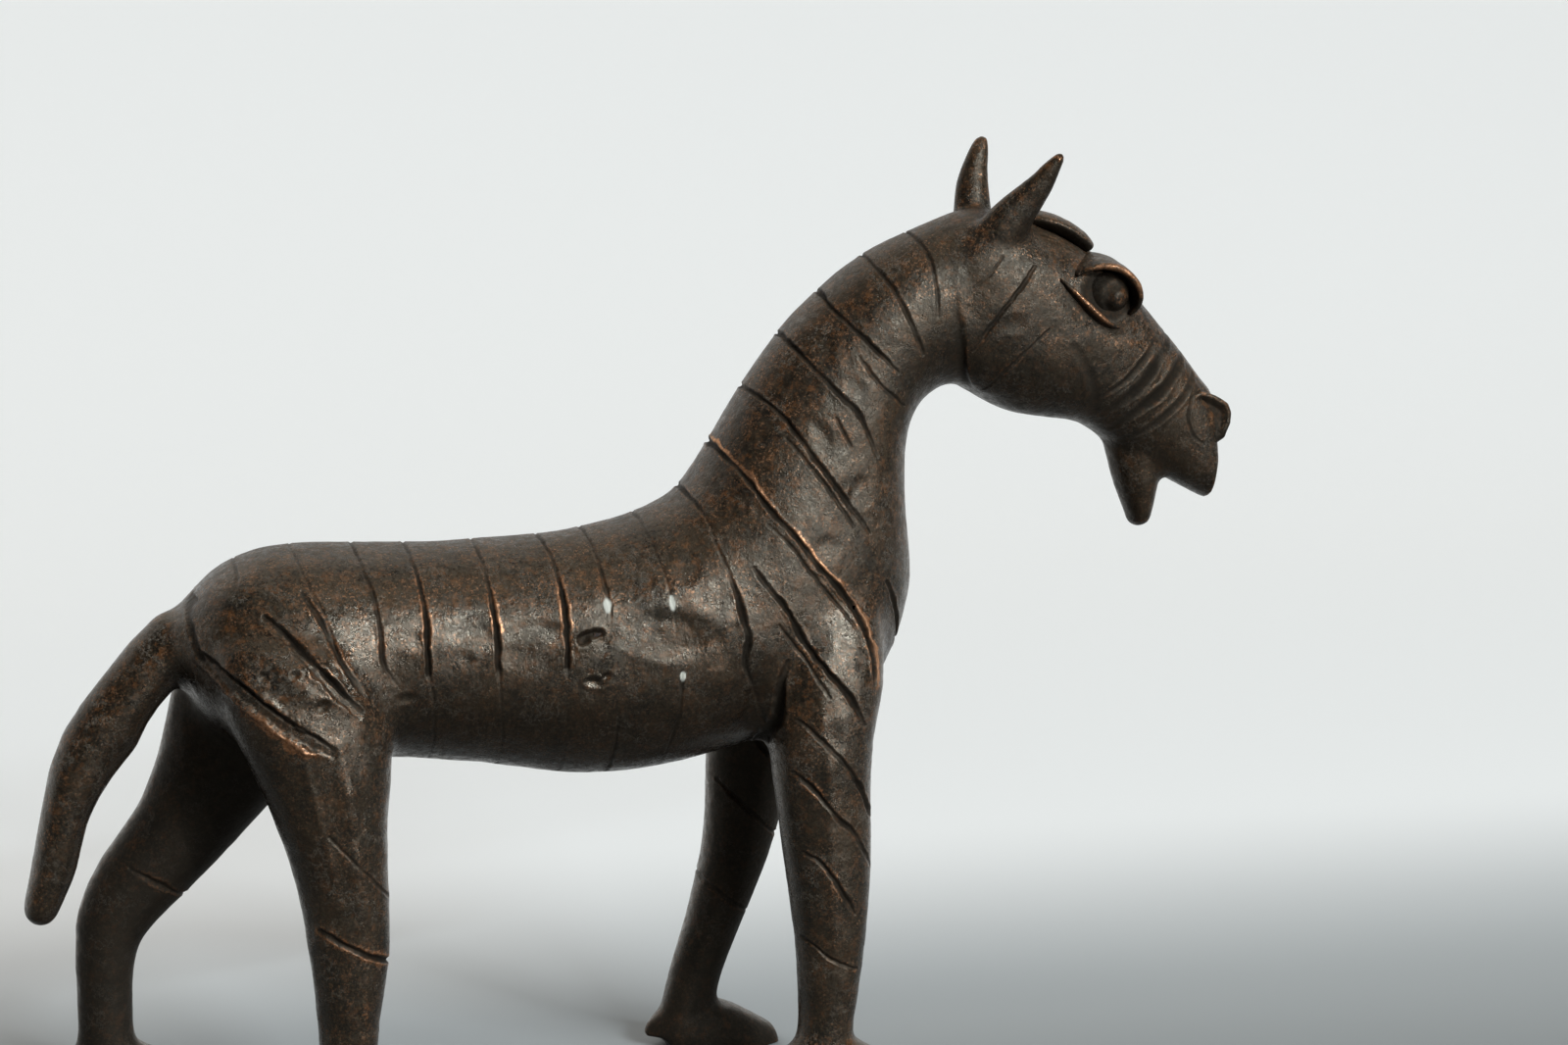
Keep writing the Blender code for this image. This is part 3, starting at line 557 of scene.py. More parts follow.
class Skin:
    """Points, triangles and what is known of each point of the casting's surface."""

    def __init__(self, points, triangles, shares):
        self.points = points
        self.triangles = triangles
        self.shares = shares
        self.reset()

    def reset(self):
        count = len(self.points)
        self.normals = normals_of(self.points, self.triangles)
        self.lift = np.zeros(count)
        self.cut = np.zeros(count)
        self.copper = np.zeros(count)
        self.residue = np.zeros(count)

    def share(self, members):
        return sum(self.shares[:, MEMBERS.index(name)] for name in members)


def reach_of(skin, cut, margin):
    """Which points a cut may touch, and its line there."""
    line = spline(cut.points)
    flat = skin.points[:, [0, 2]].copy()
    flat[:, 0] -= FAR_LEAN * np.maximum(skin.points[:, 1], 0)
    low = line[:, :2].min(axis=0) - margin
    high = line[:, :2].max(axis=0) + margin
    close = ((flat > low) & (flat < high)).all(axis=1) & (skin.share(cut.members) > 0.02)
    if cut.side:
        close &= skin.points[:, 1] * cut.side > -1.0
    index = np.flatnonzero(close)
    distance, strength = beside(flat[index], line)
    return index, distance, strength


SOFT_EDGE = 2


def carve(skin, cut, seed):
    index, distance, strength = reach_of(skin, cut, 3.0)
    points = skin.points[index]
    strength = strength * smoothstep(0.02, 0.5, skin.share(cut.members)[index])
    if cut.side:
        strength = strength * smoothstep(-1.0, 1.0, points[:, 1] * cut.side)
    if cut.members is TORSO:
        strength = strength * (1 - 0.45 * smoothstep(70, 79, points[:, 2]))
    strength = strength * (0.85 + 0.4 * noise(points, 3.0, seed + 20))
    unrest = 1.0 if cut.edge > SOFT_EDGE else 0.35
    ragged = 1 + unrest * (0.27 * noise(points, 2.3, seed) + 0.27 * noise(points, 0.9, seed + 50))
    half = cut.half_width * (0.45 + 0.55 * np.clip(strength, 0, 1)) * ragged
    wander = unrest * (0.10 * noise(points, 1.8, seed + 90) + 0.06 * noise(points, 0.7, seed + 130))
    across = np.abs(distance + wander) / half
    floor = np.exp(-across ** cut.edge)
    lip = np.exp(-((across - 1.55) / 0.55) ** 2)
    skin.lift[index] += strength * (cut.lip * lip - cut.depth * floor)
    # Dirt and painted shade darken the cut's floor; flat-bottomed bands get little of it.
    dirt_and_shade = np.clip(strength * 1.3, 0, 1) * np.exp(-(across / 1.3) ** 4) * (1.0 if cut.edge <= 3 else 0.15)
    dirt_and_shade = dirt_and_shade * (cut.depth > 0)
    skin.cut[index] = np.maximum(skin.cut[index], dirt_and_shade)
    rubbed = np.where(distance * cut.copper_side < 0, 0.4, 1.0) * cut.copper
    rubbed = rubbed * (0.5 + 0.6 * smoothstep(-0.45, 0.35, noise(points, 6.5, seed + 160)))
    if cut.members is TORSO:
        rubbed = rubbed * (0.45 + 0.75 * smoothstep(64, 73, points[:, 2]))
    beyond = np.exp(-((across - 1.9) / 1.3) ** 2)
    worn = floor if cut.depth < 0 else np.maximum(lip, 0.8 * beyond)
    edge = np.clip(strength * 1.5, 0, 1) * rubbed * worn
    skin.copper[index] = np.maximum(skin.copper[index], edge)


def softness_of(name):
    return next(value for key, value in SOFTNESS.items() if key in name)


# A bar runs through stations of x, y and z, with half its height and half its width at each.
EARS = {
    "ear_right": ((47.6, -5.2, 119.0, 2.6, 2.2), (50.2, -5.9, 121.6, 4.0, 3.0), (52.6, -6.9, 124.8, 4.1, 3.0),
                  (54.9, -7.9, 128.2, 3.3, 2.4), (57.5, -9.1, 131.6, 2.4, 1.8), (59.3, -10.0, 134.4, 1.7, 1.4),
                  (60.4, -10.5, 136.1, 1.15, 1.1), (60.8, -10.7, 136.8, 0.55, 0.6)),
    "ear_left": ((52.6, 6.2, 123.0, 3.6, 2.7), (52.7, 7.2, 128.3, 3.1, 2.4), (53.2, 8.1, 132.4, 2.5, 2.0),
                 (54.3, 8.9, 136.2, 1.85, 1.6), (54.9, 9.3, 137.8, 1.35, 1.2), (55.1, 9.5, 138.5, 0.7, 0.7)),
}
FORELOCK = ((54.5, 0, 126.5, 0.9, 3.0), (59.5, 0, 126.5, 1.3, 4.8), (63.4, 0, 125.3, 1.4, 5.4),
            (66.3, 0, 123.5, 1.4, 5.0), (68.0, 0, 121.9, 1.3, 3.8))
BAR_SIDES = 24
# The bulge of the head that carries an eye: its outline, and how it spreads to the head.
ORBIT = ((63.2, 117.8), (64.9, 119.3), (67.4, 120.0), (70.2, 119.4), (72.3, 117.7), (73.2, 115.6), (73.2, 113.6),
         (72.2, 111.8), (70.0, 110.6), (67.4, 111.4), (65.0, 113.4), (63.2, 115.6))
ORBIT_LEVELS = ((2.0, 1.1, -1.0, -2.6), (5.5, 1.08, -0.5, -1.2), (8.4, 1.0, 0.0, 0.0))


def bar_form(stations):
    line = spline(stations, 4)
    rings = []
    ahead = np.gradient(line[:, :3], axis=0)
    for (x, y, z, high, wide), run in zip(line, ahead):
        run = run / np.linalg.norm(run)
        across = np.cross((0, 1, 0), run)
        across /= np.linalg.norm(across)
        outward = np.cross(run, across)
        turn = np.linspace(0, 2 * np.pi, BAR_SIDES, endpoint=False)[:, None]
        rings.append(np.array((x, y, z)) + across * high * np.cos(turn) + outward * wide * np.sin(turn))
    return tube(rings)


def orbit_form(side):
    outline = spline([(x, z, 0) for x, z in ORBIT + ORBIT[:1]], 3)[:-1]
    rings = []
    for y, scale, ahead, up in ORBIT_LEVELS:
        x = EYE_X + (outline[:, 0] - EYE_X) * scale + ahead
        z = EYE_Z + (outline[:, 1] - EYE_Z) * scale + up
        rings.append(np.stack((x, np.full(len(x), y * side), z), axis=1))
    return tube(rings[::side])


def head_forms():
    """Shapes that the casting has beyond the plain CAD members, each with its member."""
    forms = [(name, bar_form(stations)) for name, stations in EARS.items()]
    forms += [("head", orbit_form(side)) for side in (-1, 1)]
    return forms


def build_skin():
    plain = tuple(name for name in MEMBERS if name not in EARS)
    forms = head_forms()
    points, faces, _ = gathered(plain + INNER, GROW)
    add_forms(points, faces, [], forms)
    skin, triangles = voxel_skin(points, faces, SKIN_VOXEL)
    around = Neighbours(triangles, len(skin))
    skin = skin - GROW * normals_of(skin, triangles)
    outer_points, outer_faces, owner = gathered(plain, 0.0)
    add_forms(outer_points, outer_faces, owner, forms)
    tree = BVHTree.FromPolygons([Vector(p) for p in outer_points], outer_faces)
    label = np.array([MEMBERS.index(owner[tree.find_nearest(Vector(p))[2]]) for p in skin.tolist()])
    shares = np.eye(len(MEMBERS))[label]
    shares = around.relaxed(shares, 0.8, LABEL_ROUNDS)
    soft = shares @ np.array([softness_of(name) for name in MEMBERS])
    soft = soft * (1 - (1 - MUZZLE_SOFTNESS) * smoothstep(MUZZLE_START, MUZZLE_START + 4, skin[:, 0]))
    soft = np.where(skin[:, 2] < 0.2, 0, 0.75 * soft)
    skin = around.relaxed(skin, soft, SMOOTH_ROUNDS)
    return Skin(skin, triangles, shares)


def fine_near_cuts(skin):
    wanted = skin.share(("head",)) > 0.4
    for cut in CUTS:
        index, distance, _ = reach_of(skin, cut, 2.0)
        wanted[index[np.abs(distance) < 1.5]] = True
    values = np.concatenate((skin.points, skin.shares), axis=1)
    wanted |= skin.share(("ear_right", "ear_left", "lower_jaw")) > 0.3
    values, triangles = subdivided(values, skin.triangles, wanted)
    return Skin(values[:, :3], triangles, values[:, 3:])


def hammer(skin):
    """The slow unevenness of wax shaped by hand."""
    skin.lift += TAIL_REGAIN * skin.share(("tail",)) * smoothstep(-66, -72, skin.points[:, 0])
    soles = smoothstep(0.2, 3.0, skin.points[:, 2])
    skin.lift += soles * (0.16 * noise(skin.points, 8.0, 1) + 0.07 * noise(skin.points, 3.4, 2)
                          + 0.03 * noise(skin.points, 1.3, 3))


def press(skin, dent, side, seed):
    """One dent, with a low rim round it."""
    turn = math.radians(dent.turn)
    away_x = skin.points[:, 0] - dent.x
    away_z = skin.points[:, 2] - dent.z
    reach = 3 * max(dent.half_x, dent.half_z)
    index = np.flatnonzero((np.abs(away_x) < reach) & (np.abs(away_z) < reach)
                           & (skin.normals[:, 1] * side > 0.1))
    away_x, away_z = away_x[index], away_z[index]
    across = np.abs(away_x * math.cos(turn) + away_z * math.sin(turn)) / dent.half_x
    along = np.abs(away_z * math.cos(turn) - away_x * math.sin(turn)) / dent.half_z
    distance = (across ** dent.square + along ** dent.square) ** (1 / dent.square)
    distance = distance + 0.15 * noise(skin.points[index], 1.5, seed)
    facing = smoothstep(0.1, 0.5, skin.normals[index, 1] * side)
    floor = np.exp(-distance ** (dent.square + 1))
    rim = np.exp(-((distance - 1.45) / 0.4) ** 2)
    skin.lift[index] += facing * (dent.rim * rim - dent.depth * floor)
    # The floor of a deep dent is darkened: dirt, and painted shade.
    deep = smoothstep(0.3, 0.8, dent.depth)
    skin.cut[index] = np.maximum(skin.cut[index], facing * deep * np.exp(-distance ** 4) * 0.8)
    skin.copper[index] = np.maximum(skin.copper[index], facing * rim * smoothstep(0.05, 0.2, dent.rim) * 0.35)


def flatten(skin, facet, side):
    away = np.hypot((skin.points[:, 0] - facet.x) / facet.half_x, (skin.points[:, 2] - facet.z) / facet.half_z)
    index = np.flatnonzero((away < 1.6) & (skin.normals[:, 1] * side > 0.2))
    away = away[index] + 0.12 * noise(skin.points[index], 2.0, 500)
    turn, rise = math.radians(FACET_AZIMUTH), math.radians(FACET_ELEVATION)
    facing = np.array((math.sin(turn) * math.cos(rise), side * math.cos(turn) * math.cos(rise), math.sin(rise)))
    normals = skin.normals[index]
    now = skin.points[index] + normals * skin.lift[index][:, None]
    facing = facing + 2 * normals[away < 0.6].mean(axis=0)
    facing /= np.linalg.norm(facing)
    above = (now - now[np.argmin(away)]) @ facing + facet.depth
    driven = np.clip(above, 0, FACET_DEEPEST) * smoothstep(1.5, 0.8, away)
    skin.lift[index] -= driven


def dents(skin):
    for side, group in ((-1, RIGHT_FACETS), (1, LEFT_FACETS)):
        for facet in group:
            flatten(skin, facet, side)
    for side, group in ((-1, RIGHT_DENTS), (1, LEFT_DENTS)):
        for seed, dent in enumerate(group):
            press(skin, dent, side, 300 + seed)
    draw = np.random.default_rng(5)
    low, high = skin.points.min(axis=0), skin.points.max(axis=0)
    for k in range(STRAY_DENTS):
        x, z = draw.uniform(low[0], high[0]), draw.uniform(low[2], high[2])
        size = draw.uniform(0.8, 3.2)
        stray = Dent(x, z, size, size * draw.uniform(0.5, 0.9), draw.uniform(0, 180),
                     0.06 + 0.05 * size, 2, 0.03)
        press(skin, stray, draw.choice((-1, 1)), 400 + k)
    for x, z, half_x, half_z in RESIDUE_SPOTS:
        away = np.hypot((skin.points[:, 0] - x) / half_x, (skin.points[:, 2] - z) / half_z)
        away = away + 0.3 * noise(skin.points, 0.7, 77)
        skin.residue = np.maximum(skin.residue, (skin.points[:, 1] < 0) * smoothstep(1.25, 0.85, away))


# The cheek's rear edge stands over the throat, and the eye sits in a socket.
CHEEK_EDGE = ((45.5, 114, 0.2), (46.2, 111, 0.8), (47.3, 106, 1), (48.7, 103.2, 1), (50, 101.5, 0.7))
SEAT_DEPTH = 0.3
UNDER_LID = ((60, 117, 0.2), (63, 114.2, 1), (66, 111.5, 1), (69.5, 109.6, 0.6), (72.5, 109.5, 0.1))


def face_forms(skin):
    index = np.flatnonzero(skin.share(HEAD) > 0.3)
    points = skin.points[index]
    flat = points[:, [0, 2]]
    lateral = smoothstep(3.0, 6.5, np.abs(points[:, 1]))
    distance, strength = beside(flat, spline(CHEEK_EDGE))
    ahead = np.where(distance > 0, np.exp(-(distance / 2.6) ** 2), np.exp(-(distance / 0.35) ** 2))
    skin.lift[index] += lateral * strength * 0.55 * ahead
    # Painted shadow: a dark band just behind the cheek's raised edge.
    behind = np.exp(-((distance + 0.7) / 0.5) ** 2)
    skin.cut[index] = np.maximum(skin.cut[index], lateral * strength * 0.7 * behind)
    skin.copper[index] = np.maximum(skin.copper[index], lateral * strength * 0.4 * np.exp(-((distance - 0.2) / 0.3) ** 2))
    around_eye = np.hypot((flat[:, 0] - EYE_X) / 1.15, flat[:, 1] - EYE_Z)
    skin.lift[index] -= lateral * 0.3 * smoothstep(4.4, 3.0, around_eye)
    # Painted shade in the eye's socket.
    skin.cut[index] = np.maximum(skin.cut[index], lateral * 0.8 * smoothstep(4.6, 3.4, around_eye))
    top = smoothstep(0.25, 0.75, skin.normals[index, 2]) * smoothstep(57.5, 60.5, flat[:, 0])
    skin.lift[index] -= SEAT_DEPTH * top * smoothstep(71.5, 68.0, flat[:, 0])
    distance, strength = beside(flat, spline(UNDER_LID))
    skin.lift[index] -= lateral * strength * 0.5 * np.exp(-(distance / 1.4) ** 2)


WEAR_ROUNDS = 6


def wear_and_shade(skin):
    """Rubs copper through the skin's sharp convex places, darkens its hollows with dirt and painted shade, and paints
    shade on the inward faces between the legs.
    """
    around = Neighbours(skin.triangles, len(skin.points))
    bend = ((skin.points - around.mean(skin.points)) * skin.normals).sum(axis=1, keepdims=True)
    spacing = np.linalg.norm(skin.points - skin.points[around.other[around.start]], axis=1, keepdims=True)
    bend = bend / np.maximum(spacing, 0.05) ** 2
    bend = around.relaxed(bend, 0.8, WEAR_ROUNDS)[:, 0]
    skin.copper = np.maximum(skin.copper, 0.42 * smoothstep(0.14, 0.42, bend))
    skin.cut = np.maximum(skin.cut, 0.6 * smoothstep(0.12, 0.4, -bend))
    # Painted shade on the faces that turn inwards between the legs, below the barrel.
    inward = -skin.normals[:, 1] * np.sign(skin.points[:, 1])
    between = smoothstep(-0.1, 0.5, inward) * smoothstep(70, 60, skin.points[:, 2])
    skin.cut = np.maximum(skin.cut, 0.75 * between * (1 - skin.share(("tail",))))


def settle(skin):
    skin.points = skin.points + skin.normals * skin.lift[:, None]
    skin.normals = normals_of(skin.points, skin.triangles)


# ---------------------------------------------------------------- materials
class Graph:
    """A material's node tree, written as nested calls. Textures are sized in millimetres."""

    def __init__(self, name):
        self.material = bpy.data.materials.new(name)
        self.material.use_nodes = True
        self.tree = self.material.node_tree
        self.tree.nodes.clear()
        coordinates = self.tree.nodes.new("ShaderNodeTexCoord")
        self.place = self.vector("SCALE", coordinates.outputs["Object"], scale=1 / MM)

    def node(self, kind, inputs=(), **settings):
        made = self.tree.nodes.new("ShaderNode" + kind)
        for key, value in settings.items():
            setattr(made, key, value)
        for key, value in dict(inputs).items():
            socket = made.inputs[key]
            if isinstance(value, bpy.types.NodeSocket):
                self.tree.links.new(value, socket)
            elif value is not None:
                socket.default_value = value
        return made

    def vector(self, operation, first, second=None, scale=None):
        made = self.node("VectorMath", {0: first, 1: second}, operation=operation)
        if scale is not None:
            made.inputs["Scale"].default_value = scale
        return made.outputs[0]

    def math(self, operation, first, second=None, third=None):
        return self.node("Math", {0: first, 1: second, 2: third}, operation=operation).outputs[0]

    def step(self, value, low, high):
        """0 below low, 1 above high and smooth between."""
        made = self.node("MapRange", {"Value": value, "From Min": low, "From Max": high},
                         interpolation_type="SMOOTHSTEP")
        return made.outputs["Result"]

    def attribute(self, name):
        return self.node("Attribute", attribute_name=name).outputs["Fac"]

    def noise(self, size, detail=3.0, rough=0.55, stretch=(1, 1, 1), seed=0.0):
        """Noise whose bumps are about size millimetres across, around 0.5."""
        place = self.vector("MULTIPLY", self.place, stretch)
        place = self.vector("ADD", place, (seed, seed * 1.7, seed * 2.3))
        made = self.node("TexNoise", {"Vector": place, "Scale": 1 / size, "Detail": detail,
                                      "Roughness": rough})
        return made.outputs[0]

    def cells(self, size, seed=0.0):
        place = self.vector("ADD", self.place, (seed, seed * 1.3, seed * 0.7))
        return self.node("TexVoronoi", {"Vector": place, "Scale": 1 / size}).outputs["Distance"]

    def mix(self, share, first, second):
        made = self.node("Mix", {0: share, 6: colour(first), 7: colour(second)}, data_type="RGBA")
        return made.outputs[2]

    def blend(self, share, first, second):
        return self.node("Mix", {0: share, 2: first, 3: second}, data_type="FLOAT").outputs[0]

    def bump(self, height, distance, strength=1.0, normal=None):
        """distance is how many millimetres a height of 1 stands up."""
        made = self.node("Bump", {"Height": height, "Distance": distance * MM, "Strength": strength,
                                  "Normal": normal})
        return made.outputs[0]

    def finish(self, **inputs):
        shader = self.node("BsdfPrincipled", {key.replace("_", " "): value for key, value in inputs.items()})
        output = self.node("OutputMaterial")
        self.tree.links.new(shader.outputs[0], output.inputs[0])
        return self.material


def colour(value):
    return (*value, 1) if isinstance(value, tuple) else value


BLACK_PATINA = (0.0075, 0.0062, 0.0050)
BROWN_PATINA = (0.026, 0.0158, 0.0090)
OLIVE_PATINA = (0.052, 0.036, 0.0210)
RUST = (0.125, 0.050, 0.0185)
BRIGHT_RUST = (0.24, 0.088, 0.030)
COPPER = (0.78, 0.40, 0.22)
SCRATCH = (0.20, 0.165, 0.13)
DUST = (0.125, 0.094, 0.062)
DIRT_AND_SHADE = (0.0065, 0.0048, 0.0034)
RESIDUE = (0.62, 0.60, 0.52)
WAX_GLOSS = (1.0, 0.84, 0.66, 1)


def bronze_material():
    """Waxed dark bronze: mottled patina, copper where it is rubbed, dirt and painted shade in the cuts and hollows, and
    painted shade on the downward faces.
    """
    g = Graph("dark_bronze")
    cut = g.attribute("cut")
    lip = g.attribute("copper")
    residue = g.attribute("residue")
    facing = g.node("NewGeometry").outputs["Normal"]
    up = g.node("SeparateXYZ", {0: facing}).outputs["Z"]

    cloud = g.step(g.noise(7.0, 5, 0.65), 0.36, 0.66)
    grain = g.noise(0.5, 5, 0.75, seed=3)
    fine = g.noise(0.32, 3, 0.6, seed=9)
    patina = g.mix(cloud, BLACK_PATINA, BROWN_PATINA)
    patina = g.mix(g.step(grain, 0.46, 0.70), patina, OLIVE_PATINA)

    # Rust brown clouds, thickest where hands have rubbed the upper half.
    upper = g.step(up, -0.35, 0.45)
    below = g.step(up, 0.2, -0.45)
    place = g.node("SeparateXYZ", {0: g.place}).outputs
    high = g.step(place["Z"], 71, 82)
    face = g.step(place["X"], 40, 50)
    mottled = g.math("MULTIPLY", g.step(g.noise(1.5, 6, 0.8, seed=21), 0.50, 0.64), g.blend(upper, 0.25, 0.8))
    patina = g.mix(mottled, patina, RUST)

    # Rust spreads in dots beside the rubbed lips.
    dots = g.math("SUBTRACT", g.noise(0.42, 5, 0.8, seed=101), 0.5)
    halo = g.step(g.math("ADD", lip, g.math("MULTIPLY", dots, 2.6)), 0.36, 0.70)
    patina = g.mix(g.math("MULTIPLY", halo, 0.7), patina, BRIGHT_RUST)

    # Fine pale scratches, in patches.
    vein = g.math("ABSOLUTE", g.math("SUBTRACT", g.noise(2.6, 6, 0.72, seed=91), 0.5))
    scratch = g.math("MULTIPLY", g.step(vein, 0.016, 0.003), g.step(g.noise(6.0, 3, 0.6, seed=111), 0.46, 0.60))
    patina = g.mix(g.math("MULTIPLY", scratch, 0.5), patina, SCRATCH)

    # Small bare copper specks.
    speck = g.step(g.noise(0.38, 4, 0.75, seed=31), 0.54, 0.64)
    patch = g.step(g.noise(4.0, 4, 0.7, seed=41), 0.40, 0.60)
    speck = g.math("MULTIPLY", speck, g.math("MULTIPLY", patch, g.blend(upper, 0.3, 1.0)))
    ragged = g.step(g.math("ADD", lip, g.math("MULTIPLY", g.math("SUBTRACT", g.noise(0.8, 5, 0.75, seed=5), 0.5), 2.4)), 0.50, 0.80)
    bare = g.math("MAXIMUM", g.math("MULTIPLY", speck, 0.7), ragged)
    bare = g.math("MULTIPLY", bare, g.math("SUBTRACT", 1.0, cut))
    tint = g.mix(bare, patina, g.mix(fine, COPPER, RUST))

    # Dust on the upward faces.
    dust = g.math("MULTIPLY", g.step(up, 0.45, 0.98), g.step(g.noise(0.6, 5, 0.8, seed=51), 0.40, 0.64))
    dust = g.math("MULTIPLY", dust, 0.55)
    tint = g.mix(dust, tint, DUST)
    # Painted shade: faces that turn downwards are darkened.
    tint = g.mix(g.math("MULTIPLY", below, 0.65), tint, DIRT_AND_SHADE)
    # The cut attribute darkens cuts, hollows and places under or between parts: dirt, and painted shade.
    tint = g.mix(g.math("MULTIPLY", cut, 0.85), tint, DIRT_AND_SHADE)
    tint = g.mix(residue, tint, RESIDUE)

    metal = g.blend(bare, 0.0, 0.9)
    metal = g.math("MULTIPLY", metal, g.math("SUBTRACT", 1.0, g.math("MAXIMUM", g.math("MAXIMUM", dust, cut), residue)))
    rough = g.blend(g.step(g.noise(1.3, 5, 0.75, seed=61), 0.38, 0.62), g.blend(high, 0.11, 0.25),
                    g.blend(high, 0.38, 0.46))
    rough = g.blend(bare, rough, 0.30)
    rough = g.blend(g.math("MAXIMUM", dust, cut), rough, 0.8)
    rough = g.blend(residue, rough, 0.9)

    shine = g.blend(face, g.blend(high, 0.62, 0.5), 0.36)
    # The cuts and the downward faces also reflect less, as part of the painted shade.
    gloss = g.blend(g.math("MAXIMUM", cut, below), shine, 0.2)

    height = g.bump(g.noise(2.2, 4, 0.6, seed=71), 0.15)
    height = g.bump(g.noise(0.5, 4, 0.7, seed=81), 0.07, normal=height)
    pit = g.step(g.cells(0.9, seed=7), 0.05, 0.22)
    height = g.bump(pit, 0.03, normal=height)
    height = g.bump(scratch, 0.02, normal=height)
    return g.finish(Base_Color=tint, Metallic=metal, Roughness=rough, Normal=height, Specular_IOR_Level=gloss,
                    Specular_Tint=WAX_GLOSS)


def clay_material():
    """Fired core clay, buff and gritty."""
    g = Graph("fired_clay")
    grit = g.noise(0.6, 5, 0.7)
    tint = g.mix(g.step(grit, 0.35, 0.7), (0.16, 0.085, 0.05), (0.27, 0.17, 0.105))
    return g.finish(Base_Color=tint, Roughness=0.92, Normal=g.bump(grit, 0.12))


def iron_material():
    """Forged iron, rusted in patches."""
    g = Graph("rusted_iron")
    scale = g.step(g.noise(0.7, 5, 0.7), 0.4, 0.62)
    tint = g.mix(scale, (0.03, 0.028, 0.027), (0.085, 0.036, 0.018))
    return g.finish(Base_Color=tint, Metallic=g.blend(scale, 0.7, 0.1), Roughness=g.blend(scale, 0.5, 0.85),
                    Normal=g.bump(g.noise(0.5, 4, 0.7), 0.08))


# ---------------------------------------------------------------- making pieces
# cut carries the darkening: dirt, and painted shade in cuts, hollows, sockets and under or between parts.
ATTRIBUTES = ("cut", "copper", "residue")


def store(name, values, triangles, nodes, slot, material):
    """A piece from rows of x, y, z, normal and attributes."""
    mesh = bpy.data.meshes.new(name)
    count = len(triangles)
    mesh.vertices.add(len(values))
    mesh.vertices.foreach_set("co", (values[:, :3] * MM).astype(np.float32).ravel())
    mesh.loops.add(count * 3)
    mesh.loops.foreach_set("vertex_index", triangles.ravel().astype(np.int32))
    mesh.polygons.add(count)
    mesh.polygons.foreach_set("loop_start", np.arange(0, count * 3, 3, dtype=np.int32))
    mesh.update(calc_edges=True)
    mesh.validate()
    mesh.shade_smooth()
    mesh.normals_split_custom_set_from_vertices(values[:, 3:6].tolist())
    for column, key in enumerate(ATTRIBUTES):
        attribute = mesh.attributes.new(key, "FLOAT", "POINT")
        attribute.data.foreach_set("value", values[:, 6 + column].astype(np.float32))
    mesh.materials.append(material)
    piece = bpy.data.objects.new(name, mesh)
    bpy.context.scene.collection.objects.link(piece)
    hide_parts(*nodes)
    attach(piece, BODY)
    return piece


def part_members(skin, material):
    values = np.concatenate((skin.points, skin.normals, skin.cut[:, None], skin.copper[:, None],
                             skin.residue[:, None], skin.shares), axis=1)
    first_share = 6 + len(ATTRIBUTES)
    rest = (values, skin.triangles)
    for name in reversed(MEMBERS):
        if name == MEMBERS[0]:
            piece = rest
        else:
            shares = rest[0][:, first_share:]
            own = MEMBERS.index(name)
            others = shares[:, :own].max(axis=1)
            piece, rest = parted(rest[0], rest[1], shares[:, own] - others)
        rows, triangles = capped(*piece)
        store(name + "_skin", rows, triangles, [name], "bronze", material)


skin = build_skin()
skin = fine_near_cuts(skin)
hammer(skin)
for seed, cut in enumerate(CUTS):
    carve(skin, cut, 100 + seed)
dents(skin)
face_forms(skin)
settle(skin)
wear_and_shade(skin)
bronze = bronze_material()
part_members(skin, bronze)


# ---------------------------------------------------------------- eyes and nostrils
FACE_VOXEL = 0.14


def softened(points, faces, rounds):
    skin, triangles = voxel_skin([tuple(p) for p in points], faces, FACE_VOXEL)
    return Neighbours(triangles, len(skin)).relaxed(skin, 0.6, rounds), triangles


def store_wax(name, node, skin, triangles, slot, dirt_and_shade, copper):
    """A small member in its own right, a little uneven, with its painted shade and wear."""
    normals = normals_of(skin, triangles)
    uneven = 0.05 * noise(skin, 1.6, 7) + 0.03 * noise(skin, 0.7, 8)
    skin = skin + normals * uneven[:, None]
    normals = normals_of(skin, triangles)
    values = np.concatenate((skin, normals, dirt_and_shade[:, None], copper[:, None], np.zeros((len(skin), 1))), axis=1)
    store(name, values, triangles, [node], slot, bronze)


def wax_pair(name, points, faces, rounds, slot, paint, shape=None):
    """A member written for the horse's left side, and its mirror image for the right."""
    skin, triangles = softened(points, faces, rounds)
    if shape:
        skin = shape(skin, normals_of(skin, triangles))
    dirt_and_shade, copper = paint(skin)
    for side, sign in (("left", 1), ("right", -1)):
        store_wax(f"{name}_{side}_skin", f"{name}_{side}", skin * np.array((1, sign, 1)), triangles[:, ::sign],
                  slot, dirt_and_shade, copper)


def forelock_piece():
    skin, triangles = softened(*bar_form(FORELOCK), 10)
    # Painted shade on the forelock's underside.
    below = smoothstep(0.1, -0.5, normals_of(skin, triangles)[:, 2])
    tip = smoothstep(67.0, 69.5, skin[:, 0])
    store_wax("forelock_skin", "forelock", skin, triangles, "worn_bronze", 0.8 * below, 0.3 * tip * (1 - below))


# Lid paths run from the back of the eye to its front: x, y and z of the rim, and its thickness.
UPPER_LID = ((63.6, 9.8, 118.5, 0.6), (65.2, 10.5, 119.5, 0.9), (67.6, 11.0, 119.9, 1.05), (70.4, 11.1, 119.2, 1.05),
             (72.5, 11.0, 117.3, 1.05), (73.3, 10.6, 115.2, 0.95), (73.0, 9.9, 113.5, 0.8), (72.1, 8.9, 112.4, 0.5))
LOWER_LID = ((60.8, 9.9, 118.2, 0.4), (62.4, 10.6, 116.7, 0.75), (64.6, 11.1, 114.6, 0.85), (66.9, 11.1, 112.5, 0.85),
             (69.0, 10.4, 111.1, 0.7), (70.8, 9.2, 110.6, 0.4))
LID_ROOT = 3.0


